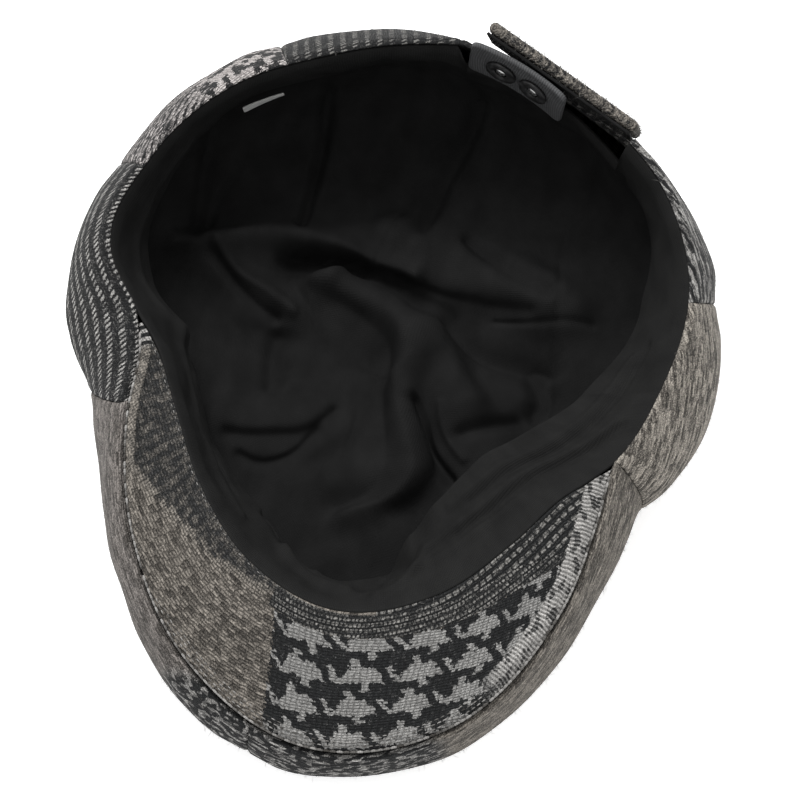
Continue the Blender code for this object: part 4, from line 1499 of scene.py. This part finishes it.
def add_peak(paint, fibres):
    """The peak: its upper face from the table, its under face a thickness below, rolled together,
    and the fibres that stand from it.
    """
    first, last = COVER_LEFT_END, COVER_RIGHT_END
    azimuths = np.concatenate((
        np.linspace(first, first + PEAK_END, EDGE_ROWS)[:-1],
        np.linspace(first + PEAK_END, last - PEAK_END, PEAK_COLUMNS)[:-1],
        np.linspace(last - PEAK_END, last, EDGE_ROWS),
    ))
    shares = spread_steps(PEAK_REACH, CELL, PEAK_ROLL)
    azimuth, across = np.meshgrid(azimuths, shares, indexing="ij")
    face = peak_face(azimuth, across)
    _, width = peak_width(azimuth)
    from_edge = np.minimum(across, 1 - across) * width
    from_end = np.radians(np.minimum(azimuth - first, last - azimuth)) * HEAD_RADIUS
    half = PEAK_THICKNESS / 2 * rolled_edge(from_edge, PEAK_ROLL) * rolled_edge(from_end, PEAK_ROLL)
    middle = face[..., 2] - PEAK_THICKNESS / 2
    upper, under = (np.stack((face[..., 0], face[..., 1], middle + side * half), -1) for side in (1, -1))
    arc = arc_lengths(face[:, len(shares) // 2: len(shares) // 2 + 1], 0)
    reach = across * width
    maps = {
        "cloth": np.stack((np.broadcast_to(arc, across.shape), reach), -1),
        "motif": tooth_lattice(azimuth, reach),
    }
    low, high = (peak_line(line, azimuth) for line in (STRIP_LOW, STRIP_HIGH))
    values = {
        "turn": azimuth,
        "inset": width - reach,
        "strip": (reach - low) / (high - low),
        "border": peak_line(BLOTCH_BORDER, azimuth) - reach,
    }
    pillow("peak_cover", upper, under, maps, paint, "peak_cloth", "peak", values=values)
    add_fuzz("peak_fuzz", (upper,), PEAK_FUZZ, PEAK_SEED, fibres, "peak_cloth")


def ring_grid(cell_degrees, rows):
    """A closed ring of azimuths, which ends where it starts, and rows, as two grids."""
    corners = (NOTCH_FROM, NOTCH_FROM + NOTCH_SIDE / 2, NOTCH_FROM + NOTCH_SIDE,
               NOTCH_TO - NOTCH_SIDE, NOTCH_TO - NOTCH_SIDE / 2, NOTCH_TO)
    ring = np.unique(np.concatenate((np.arange(0, 360, cell_degrees), corners, (360,))))
    return np.meshgrid(rows, ring, indexing="ij")


def evened(values, down, beside):
    """A ring's values, each turned into the mean of its neighbours down and round the ring."""
    ring = values[:, :-1]
    ring = sum(np.roll(ring, step, axis=1) for step in range(-beside, beside + 1)) / (2 * beside + 1)
    padded = np.concatenate((np.repeat(ring[:1], down, 0), ring, np.repeat(ring[-1:], down, 0)))
    ring = sum(padded[step:step + len(ring)] for step in range(2 * down + 1)) / (2 * down + 1)
    return np.concatenate((ring, ring[:, :1]), 1)


# Lining's grid: degrees from one column to the next, where its wall starts, rows of wall and bowl,
# how much closer the bowl's rows lie towards its middle, and every which row its back keeps.
# Neighbours that even out its normals down and round it, and its reach round it. Stages from which
# and over which the folds set in, and over which the bowl's lift does.
LINING_CELL = 0.75
WALL_START = 0.1
WALL_ROWS = 32
BOWL_ROWS = 99
BOWL_SPACING = 0.8
BACK_EVERY = 3
EVEN_DOWN = 7
EVEN_ROUND = 10
REACH_ROUND = 12
HELD_FROM = 0.3
HELD_OVER = 0.5
BOTTOM_OVER = 0.5


def add_lining(paint):
    """The lining: its wall, which starts under the turned sweatband, and its bowl, pushed in and out
    along its normals by the folds and seams. Its back is a coarser skin that closes it.
    """
    wall = np.linspace(WALL_START, 1, WALL_ROWS)
    bowl = 2 - np.linspace(1, 0, BOWL_ROWS) ** BOWL_SPACING
    stage, azimuth = ring_grid(LINING_CELL, np.concatenate((wall[:-1], bowl)))
    face = lining_face(azimuth, stage)
    face[-1] = face[-1].mean(0)
    inward = -normals(face)
    inward *= np.sign(inward[..., 2:3].mean())
    reach = evened(lengths_from_last(face), 0, REACH_ROUND)
    central = smooth_step(1 - reach / POLE_CALM)[..., None]
    inward = evened(inward, EVEN_DOWN, EVEN_ROUND)
    inward = unit(inward + (inward[-1].mean(0) - inward) * central)
    angle = np.radians(azimuth)
    x, y = MILLI * reach * np.cos(angle), MILLI * reach * np.sin(angle)
    held = smooth_step((stage - HELD_FROM) / HELD_OVER)
    bottom = smooth_step((stage - 1) / BOTTOM_OVER)
    folds = fold_height(x, y, LINING_FOLDS) + LINING_SOFT * ripples(face, LINING_SOFT_SIZE, seed=5)
    lift = folds * held + fold_height(x, y, LINING_SEAMS) * held + BOWL_LIFT * bottom
    folded = face + inward * lift[..., None]
    folded[..., 2] = np.maximum(folded[..., 2], LINING_FLOOR)
    inner = folded + inward * LINING_WALL
    inner[0] = folded[0]
    back = folded[::BACK_EVERY, ::-1]
    uv = np.stack((x, y), -1) / MILLI
    maps = {"cloth": (uv[::BACK_EVERY, ::-1], uv)}
    mesh = make_mesh("lining_cloth", (back, inner), maps)
    return add_piece("lining_cloth", mesh, paint, "black_cotton", "lining")


def eased(azimuth, table):
    """A value read round a table of azimuths and values, level at each of its rows."""
    knots, values = (np.array(row, dtype=float) for row in table)
    turned = np.mod(azimuth, 360)
    at = np.clip(np.searchsorted(knots, turned, side="right") - 1, 0, len(knots) - 2)
    share = smooth_step((turned - knots[at]) / (knots[at + 1] - knots[at]))
    return values[at] + (values[at + 1] - values[at]) * share


# Sweatband's grid: its cell round the cap in degrees and down it in metres. Azimuth at which its
# run is counted from, height and size of its slow unevenness, and down to which level that fades in.
BAND_CELL_DEGREES = 0.6
BAND_CELL = 0.0009
BAND_START = 140
BAND_SOFT = 0.0003
BAND_SOFT_SIZE = 0.018
BAND_SOFT_OVER = 0.3


def worn_band(azimuth, level):
    """The sweatband's outer face: turned out at its top, leaning more at its free edge, and folded."""
    lean = np.radians((along("lean", azimuth) + eased(azimuth, BAND_TURN) * level) * BAND_LEAN)
    radius, height, below = band_section(azimuth, level, lean)
    top = np.clip(1 - below / TURN_DEPTH, 0, 1) ** 2
    turned = TURN_OUT + TURN_OUT_PEAK * smooth_step(peak_share(azimuth) / PEAK_START)
    face = around(azimuth, radius + turned * top, height + TURN_UP * top)
    round_it, down_it = MILLI * HEAD_RADIUS, MILLI * BAND_HEIGHT
    x = round_it * np.radians(np.mod(azimuth - BAND_START, 360) + BAND_START)
    y = down_it * level
    folds = [(left, right, lift, [(round_it * math.radians(a), down_it * b) for a, b in points])
             for left, right, lift, points in BAND_FOLDS]
    soft = BAND_SOFT * ripples(face, BAND_SOFT_SIZE, seed=8) * smooth_step(level / BAND_SOFT_OVER)
    lift = fold_height(x, y, folds) + soft
    angle = np.radians(azimuth)
    outward = np.stack((np.cos(lean) * np.cos(angle), np.cos(lean) * np.sin(angle), -np.sin(lean)), -1)
    return face - outward * lift[..., None]


def add_band(paint):
    """The sweatband: a strip with soft edges round the opening."""
    edge = BAND_WALL / 2
    level, azimuth = ring_grid(BAND_CELL_DEGREES, spread_steps(BAND_HEIGHT, BAND_CELL, edge))
    face = worn_band(azimuth, level)
    out = -normals(face)
    half = edge * rolled_edge(np.minimum(level, 1 - level) * BAND_HEIGHT, edge)
    middle = face - out * BAND_WALL / 2
    outer = middle + out * half[..., None]
    inner = middle - out * half[..., None]
    uv = np.stack((np.radians(azimuth) * HEAD_RADIUS, level * BAND_HEIGHT), -1)
    mesh = make_mesh("sweatband_cloth", (outer[:, ::-1], inner), {"cloth": (uv[:, ::-1], uv)})
    return add_piece("sweatband_cloth", mesh, paint, "band_cloth", "sweatband")


# Loose fibres of the wool: how many to a square metre and how long, on the crown, peak and strap,
# with the seed of each, how thick they are along their length, how far they lean from the normal
# and curl, and the shortest one's length and what the longest has more, in shares
CROWN_FUZZ = (130000, 0.0013)
PEAK_FUZZ = (260000, 0.0009)
STRAP_FUZZ = (1100000, 0.0017)
CROWN_SEED = 11
PEAK_SEED = 12
STRAP_SEED = 13
FIBRE_RADIUS = 0.00005
FIBRE_PROFILE = (0, 1, 0.8, 0)
FIBRE_LEAN = 0.8
FIBRE_CURL = 0.5
FIBRE_LENGTHS = (0.4, 1.2)

# A direction that few fibres and stitches run along, from which their sides are counted
ASIDE = (0.31, 0.21, 0.93)


def tubes(name, centres, radii, tones, paint, slot, sides=3):
    """Many thin pieces as one mesh: rings of points round each one's centre line, which close
    where the radius is 0. Each has its own tone.
    """
    run = unit(np.gradient(centres, axis=1))
    beside = unit(np.cross(run, ASIDE))
    above = np.cross(run, beside)
    angle = -2 * math.pi * np.arange(sides + 1)[:, None] / sides
    ring = np.cos(angle) * beside[:, :, None] + np.sin(angle) * above[:, :, None]
    points = centres[:, :, None] + radii[..., None, None] * ring
    share = np.broadcast_to(np.linspace(0, 1, radii.shape[1])[None, :, None], points.shape[:3])
    tone = np.broadcast_to(tones[:, None, None], points.shape[:3])
    mesh = make_mesh(name, list(points), {"yarn": list(np.stack((tone, share), -1))})
    return add_piece(name, mesh, paint, slot)


def add_fuzz(name, grids, amount, seed, paint, slot):
    """Loose fibres over grids of points: each starts at a random place, leans at random from the
    normal and curls with the square of its length.
    """
    random = np.random.default_rng(seed)
    density, length = amount
    shortest, longer = FIBRE_LENGTHS
    lines = []
    for points in grids:
        out = normals(points)[:-1, :-1]
        down = points[1:, :-1] - points[:-1, :-1]
        across = points[:-1, 1:] - points[:-1, :-1]
        area = np.linalg.norm(np.cross(down, across), axis=-1)
        count = int(area.sum() * density)
        chances = (area / area.sum()).ravel()
        i, j = np.unravel_index(random.choice(area.size, count, p=chances), area.shape)
        first, second = random.random((2, count, 1))
        root = points[i, j] + first * down[i, j] + second * across[i, j]
        way = unit(out[i, j] + FIBRE_LEAN * random.normal(size=(count, 3)))
        curl = FIBRE_CURL * random.normal(size=(count, 3))
        reach = length * (shortest + longer * random.random((count, 1, 1)) ** 2)
        share = np.linspace(0, 1, len(FIBRE_PROFILE))[:, None]
        lines.append(root[:, None] + reach * (way[:, None] * share + curl[:, None] * share ** 2))
    centres = np.concatenate(lines)
    centres[..., 2] = np.maximum(centres[..., 2], 2 * FIBRE_RADIUS)
    radii = np.broadcast_to(FIBRE_RADIUS * np.array(FIBRE_PROFILE), centres.shape[:2])
    return tubes(name, centres, radii, random.random(len(centres)), paint, slot)


# Rows of stitches on the peak: whether they are counted from its outer edge, millimetres in from
# there, first and last azimuth, and each stitch's spacing, length and thickness in millimetres
STITCH_ROWS = (
    (True, 1.2, 244, 300, 2.1, 1.5, 0.42),
    (True, 2.5, 246, 300, 2.2, 1.6, 0.42),
    (True, 3.9, 250, 298, 2.2, 1.5, 0.40),
    (True, 0.0, 196, 240, 2.4, 2.5, 0.90),
    (True, -0.2, 240, 300, 2.2, 2.3, 0.90),
    (True, -0.2, 300, 340, 2.0, 2.1, 0.90),
    (False, 1.0, 199, 260, 2.1, 1.2, 0.34),
)


# A stitch: places along its half length, how far its middle stands up and its ends sink in, in
# thicknesses, and how many steps its row is measured in
STITCH_PLACES = (-1, -0.8, 0, 0.8, 1)
STITCH_RISE = 0.35
STITCH_SINK = 0.8
STITCH_STEPS = 400
STITCH_SEED = 4


def add_stitches(paint):
    """Rows of stitches on the peak: each is a low arch along its row, thick at its middle."""
    centres = []
    radii = []
    share = np.array(STITCH_PLACES)
    for outer_edge, inset, first, last, spacing, length, thick in STITCH_ROWS:
        azimuth = np.linspace(first, last, STITCH_STEPS)
        _, width = peak_width(azimuth)
        reach = inset / MILLI / width
        path = peak_face(azimuth, 1 - reach if outer_edge else reach)
        gone = arc_lengths(path[None], 1)[0]
        even = np.arange(spacing / MILLI, gone[-1], spacing / MILLI)
        middles = np.stack([np.interp(even, gone, path[:, axis]) for axis in range(3)], -1)
        run = unit(np.gradient(middles, axis=0))
        rise = thick / MILLI * (STITCH_RISE - STITCH_SINK * share ** 2)
        arch = np.stack((0 * share, 0 * share, rise), -1)
        centres.append(middles[:, None] + run[:, None] * share[:, None] * length / (2 * MILLI) + arch)
        radii.append(np.tile(thick / (2 * MILLI) * np.sqrt(1 - share ** 4), (len(middles), 1)))
    centres = np.concatenate(centres)
    tones = np.random.default_rng(STITCH_SEED).uniform(0, 1, len(centres))
    return tubes("peak_stitches", centres, np.concatenate(radii), tones, paint, "peak_cloth", sides=6)


def upright_frame(azimuth, lean, shift, distance, height):
    """Frame of a strip across the notch: X along it, Y up its face, Z out of the cap.

    It faces the azimuth and runs parallel to the rim. Its middle is shift along it, at that height
    and at that distance out along its normal, and its face leans out towards the bottom by lean.
    """
    angle = math.radians(azimuth)
    level = Vector((math.cos(angle), math.sin(angle), 0))
    sideways = Vector((-math.sin(angle), math.cos(angle), 0))
    along_strip = (sideways + Vector((0, 0, math.tan(RIM_TILT) * math.cos(angle)))).normalized()
    leaning = level * math.cos(lean) + Vector((0, 0, math.sin(lean)))
    upward = leaning.cross(along_strip).normalized()
    outward = along_strip.cross(upward)
    reach = (distance - height * outward.z) / outward.dot(level)
    middle = level * reach + Vector((0, 0, height)) + along_strip * shift
    axes = Matrix((along_strip, upward, outward)).transposed()
    return Matrix.Translation(middle) @ axes.to_4x4()


def rolled(point, radius):
    """A point of a flat strip, moved to where it lies once the strip is rolled."""
    angle = point.x / radius
    reach = radius + point.z
    return Vector((reach * math.sin(angle), point.y, reach * math.cos(angle) - radius))


def strap_top():
    """Height of the middle of the strap's top edge: that of the rim behind it."""
    return float(rim_plane(STRAP_AZIMUTH, opening_radius(STRAP_AZIMUTH) + CROWN_WALL))


def strap_frame(outset):
    """Frame of a layer of the strap, whose middle is that far outside the facing's inner face."""
    chord = float(opening_radius(STRAP_AZIMUTH)) - STRAP_INSET
    outward = upright_frame(STRAP_AZIMUTH, STRAP_LEAN, 0, 0, 0).to_3x3().col[2]
    angle = math.radians(STRAP_AZIMUTH)
    edge = Vector((chord * math.cos(angle), chord * math.sin(angle), strap_top()))
    height = strap_top() - STRAP_WIDTH * math.cos(STRAP_LEAN) / 2
    distance = edge.dot(outward) + outset
    return upright_frame(STRAP_AZIMUTH, STRAP_LEAN, STRAP_SHIFT, distance, height)


def tab_frame():
    """Frame of the snap tab: upright, its outer end beside the notch's left side."""
    facing = strap_frame(0)
    normal = facing.to_3x3().col[2]
    limit = facing.translation.dot(normal) - GAP
    azimuth = STRAP_AZIMUTH + TAB_TURN
    corner = NOTCH_TO - NOTCH_SIDE
    side = float(opening_radius(corner)) * math.sin(math.radians(corner - azimuth))
    shift = side - TAB_BEND * math.sin(TAB_LENGTH / 2 / TAB_BEND) - GAP
    height = strap_top() - TAB_WIDTH / 2
    flat = upright_frame(azimuth, 0, shift, 0, height)
    outward = flat.to_3x3().col[2]
    lengthwise = TAB_LENGTH * np.linspace(-0.5, 0.5, TAB_CUTS + 2)
    outer = [flat @ rolled(Vector((x, y, TAB_THICKNESS / 2)), TAB_BEND)
             for x in lengthwise for y in (-TAB_WIDTH / 2, TAB_WIDTH / 2)]
    free = min((limit - point.dot(normal)) / outward.dot(normal) for point in outer)
    return upright_frame(azimuth, 0, shift, free, height)


def placed(points, place):
    """Points of a strip's or stud's own frame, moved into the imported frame."""
    matrix = np.array(place)
    return points @ matrix[:3, :3].T + matrix[:3, 3] + MIDDLE


def strip(name, place, size, paint, slot, node, bend=None, corner=STRAP_CORNER, taper=0.0):
    """A strip of cloth in its own frame, with rolled edges and rounded corners.

    Its two faces are a grid of length and width, half the thickness out and in from its middle.
    With a bend it is rolled about that radius, and with a taper it narrows by that share.
    """
    length, width, thick = size
    edge = thick / 2
    xs, ys = ((spread_steps(side, STRIP_CELL, edge) - 0.5) * side for side in (length, width))
    x, y = np.meshgrid(xs, ys, indexing="ij")
    outside = np.clip(np.abs(x) - (length / 2 - corner), 0, corner)
    rounded = 1 - (corner - np.sqrt(corner ** 2 - outside ** 2)) / (width / 2)
    squeeze = rounded * (1 - taper * (0.5 - x / length))
    y = y * squeeze
    from_edge = np.minimum(length / 2 - np.abs(x), width / 2 * squeeze - np.abs(y))
    half = thick / 2 * rolled_edge(from_edge, edge)
    faces = []
    for z in (half, -half):
        if bend is None:
            points = np.stack((x, y, z), -1)
        else:
            angle = x / bend
            points = np.stack(((bend + z) * np.sin(angle), y, (bend + z) * np.cos(angle) - bend), -1)
        faces.append(placed(points, place))
    uv = np.stack((arc_lengths(faces[0], 0), arc_lengths(faces[0], 1)), -1)
    pillow(name, faces[0], faces[1], {"cloth": uv}, paint, slot, node)
    return faces


def lathe(name, profile, place, paint, slot, node, closed=True):
    """A round piece: a profile of radius and height turned about its frame's Z."""
    rows = np.array(profile + profile[:1] if closed else profile)
    angle = np.linspace(0, 2 * math.pi, STUD_SIDES + 1)
    radius, angles = np.meshgrid(rows[:, 0], angle, indexing="ij")
    height = np.broadcast_to(rows[:, 1:2], radius.shape)
    uv = np.stack((radius * np.cos(angles), radius * np.sin(angles)), -1)
    points = np.concatenate((uv, height[..., None]), -1)
    mesh = make_mesh(name, (placed(points, place),), {"cloth": (uv,)})
    return add_piece(name, mesh, paint, slot, node)


# Press studs: sides and rows of their grid. For the ring's rounded top, in thicknesses, the height
# it stands on and that of its arch, and the part of a half turn that the arch covers and where in
# it the arch starts.
STUD_SIDES = 48
STUD_ROWS = 9
RING_BASE = 0.45
RING_TOP = 0.55
RING_ARCH = 0.8
RING_ARCH_START = 0.1


def add_studs(place, black, bright):
    """Two press studs: a black ring round a bright steel middle."""
    outer, inner, thick = STUD_DIAMETER / 2, STUD_HOLE / 2, STUD_THICKNESS
    hollow = outer ** 2 / (2 * TAB_BEND)
    seat = TAB_THICKNESS / 2 + STUD_GAP + hollow
    turn = np.linspace(0, 1, STUD_ROWS)
    over = inner + (outer - inner) * turn
    arch = np.sin(math.pi * (turn * RING_ARCH + RING_ARCH_START))
    top = thick * (RING_BASE + RING_TOP * arch)
    profile = [(inner, 0.0)] + list(zip(over.tolist(), top.tolist())) + [(outer, 0.0)]
    bowl = inner - STUD_GAP
    steps = np.linspace(0, math.pi / 2, STUD_ROWS)[1:-1]
    dome = [(bowl * math.cos(step), STUD_RISE * math.sin(step)) for step in steps]
    domed = [(0.0, 0.0), (bowl, 0.0)] + dome + [(0.0, STUD_RISE)]
    for name, side in (("left", 1), ("right", -1)):
        angle = side * STUD_SPACING / 2 / TAB_BEND
        foot = rolled(Vector((side * STUD_SPACING / 2, 0, -seat)), TAB_BEND)
        at = place @ Matrix.Translation(foot) @ Matrix.Rotation(math.pi + angle, 4, "Y")
        lathe("stud_ring_" + name, profile[::-1], at, black, "black_enamel", "snap_ring_" + name)
        lathe("stud_middle_" + name, domed, at, bright, "bright_steel", "snap_centre_" + name, closed=False)


def add_label(paint):
    """A blank sliver of tape that hangs inside the sweatband, at its lower edge."""
    beside = LABEL_AZIMUTH + LABEL_STEP * np.arange(-1, 2)
    before, here, after = (Vector(point) for point in band_face(beside, 1.0) - MIDDLE)
    top = Vector(band_face(np.array((LABEL_AZIMUTH,)), 0.0)[0] - MIDDLE)
    tangent = (after - before).normalized()
    outward = (top - here).cross(tangent).normalized()
    if outward.dot(here) < 0:
        outward.negate()
    inset = BAND_WALL + 2 * GAP + LABEL_THICKNESS / 2 + LABEL_CLEARANCE
    middle = here + (top - here).normalized() * LABEL_WIDTH / 2 - outward * inset
    axes = Matrix((tangent, outward.cross(tangent), outward)).transposed()
    place = Matrix.Translation(middle) @ axes.to_4x4() @ Matrix.Rotation(LABEL_TILT, 4, "X")
    size = (LABEL_LENGTH, LABEL_WIDTH, LABEL_THICKNESS)
    strip("label_tape", place, size, paint, "grey_tape", "label_tab", bend=LABEL_BEND,
          corner=LABEL_CORNER, taper=LABEL_TAPER)


def add_strap(fibres):
    """The adjusting strap: black facing inside, tweed with a little puff outside, and its fibres."""
    size = (STRAP_LENGTH - FACING_INSET, STRAP_WIDTH, FACING_THICKNESS)
    cotton = black_cloth("black facing", INK, BAND_PITCH, SLATE)
    strip("strap_facing_cloth", strap_frame(FACING_THICKNESS / 2), size, cotton, "facing_cloth",
          "strap_facing")
    full = STRAP_THICKNESS + STRAP_PUFF
    outer = strap_frame(FACING_THICKNESS + GAP + full / 2)
    tweed = twill_cloth("strap tweed", *STRAP_TWILL)
    front, back = strip("strap_tweed", outer, (STRAP_LENGTH, STRAP_WIDTH, full), tweed, "strap_cloth",
                        "back_strap")
    add_fuzz("strap_fuzz", (front, back[:, ::-1]), STRAP_FUZZ, STRAP_SEED, fibres, "strap_cloth")


# Camera: its elevation and azimuth, distance, the point it looks at, lens and sensor in millimetres
CAMERA_ELEVATION = math.radians(70)
CAMERA_AZIMUTH = math.radians(15.5)
CAMERA_DISTANCE = 1.05
CAMERA_TARGET = np.array((0.00998, -0.0225, 0.05414)) + MIDDLE
CAMERA_LENS = 144.05
CAMERA_SENSOR = 36


# Studio: glow and half width of the floor, brightness of the pale surroundings, and the key light's
# place, width, watts and the point it looks at
FLOOR_GLOW = 0.55
FLOOR_HALF = 4
WORLD_STRENGTH = 0.92
KEY_PLACE = (-0.42, 0.62, 1.25)
KEY_SIZE = 0.8
KEY_POWER = 27
LIT_POINT = (0, 0, 0.03)

# Black cotton: pitch of the lining's weave, and of the sweatband's and the strap facing's
LINING_PITCH = 0.0005
BAND_PITCH = 0.0006


def add_camera():
    """The camera, at the photograph's angle."""
    a, e = CAMERA_AZIMUTH, CAMERA_ELEVATION
    back = Vector((math.sin(a) * math.cos(e), -math.cos(a) * math.cos(e), math.sin(e)))
    right = Vector((math.cos(a), math.sin(a), 0))
    data = bpy.data.cameras.new("camera")
    data.lens = CAMERA_LENS
    data.sensor_width = CAMERA_SENSOR
    camera = bpy.data.objects.new("camera", data)
    bpy.context.scene.collection.objects.link(camera)
    axes = Matrix((right, back.cross(right), back)).transposed()
    place = Vector(CAMERA_TARGET) + back * CAMERA_DISTANCE
    camera.matrix_world = Matrix.Translation(place) @ axes.to_4x4()
    bpy.context.scene.camera = camera


def add_light(name, place, size, energy):
    """A soft area light that looks at the cap."""
    data = bpy.data.lights.new(name, "AREA")
    data.shape = "DISK"
    data.size = size
    data.energy = energy
    light = bpy.data.objects.new(name, data)
    bpy.context.scene.collection.objects.link(light)
    light.location = place
    light.rotation_euler = (Vector(LIT_POINT) - Vector(place)).to_track_quat("-Z", "Y").to_euler()


def add_studio():
    """A pale floor, a pale world and one soft light."""
    half = FLOOR_HALF
    corners = [(-half, -half, 0), (half, -half, 0), (half, half, 0), (-half, half, 0)]
    mesh = bpy.data.meshes.new("floor")
    mesh.from_pydata(corners, [], [(0, 1, 2, 3)])
    floor = bpy.data.objects.new("floor", mesh)
    bpy.context.scene.collection.objects.link(floor)
    mesh.materials.append(floor_paint())
    world = bpy.data.worlds.new("studio")
    world.use_nodes = True
    world.node_tree.nodes["Background"].inputs["Color"].default_value = WHITE
    world.node_tree.nodes["Background"].inputs["Strength"].default_value = WORLD_STRENGTH
    bpy.context.scene.world = world
    bpy.context.scene.view_settings.view_transform = "Standard"
    add_light("key", KEY_PLACE, KEY_SIZE, KEY_POWER)


def main():
    """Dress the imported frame."""
    add_camera()
    add_studio()
    fibres = yarn_cloth("loose fibres", FIBRE_DARK, FIBRE_LIGHT)
    add_crown(fibres)
    add_peak(patchwork_cloth(), fibres)
    add_stitches(yarn_cloth("stitching", BARK, CHALK))
    add_lining(black_cloth("black cotton", INK, LINING_PITCH, SLATE))
    add_band(black_cloth("black band", SOOT, BAND_PITCH, GRAPHITE))
    add_strap(fibres)
    place = tab_frame()
    size = (TAB_LENGTH, TAB_WIDTH, TAB_THICKNESS)
    strip("tab_cloth", place, size, grosgrain_cloth("grosgrain tab"), "tab_cloth", "snap_tab",
          bend=TAB_BEND, corner=TAB_CORNER)
    add_studs(place, enamel("black enamel"), steel("bright steel"))
    add_label(tape_cloth("grey tape"))


main()
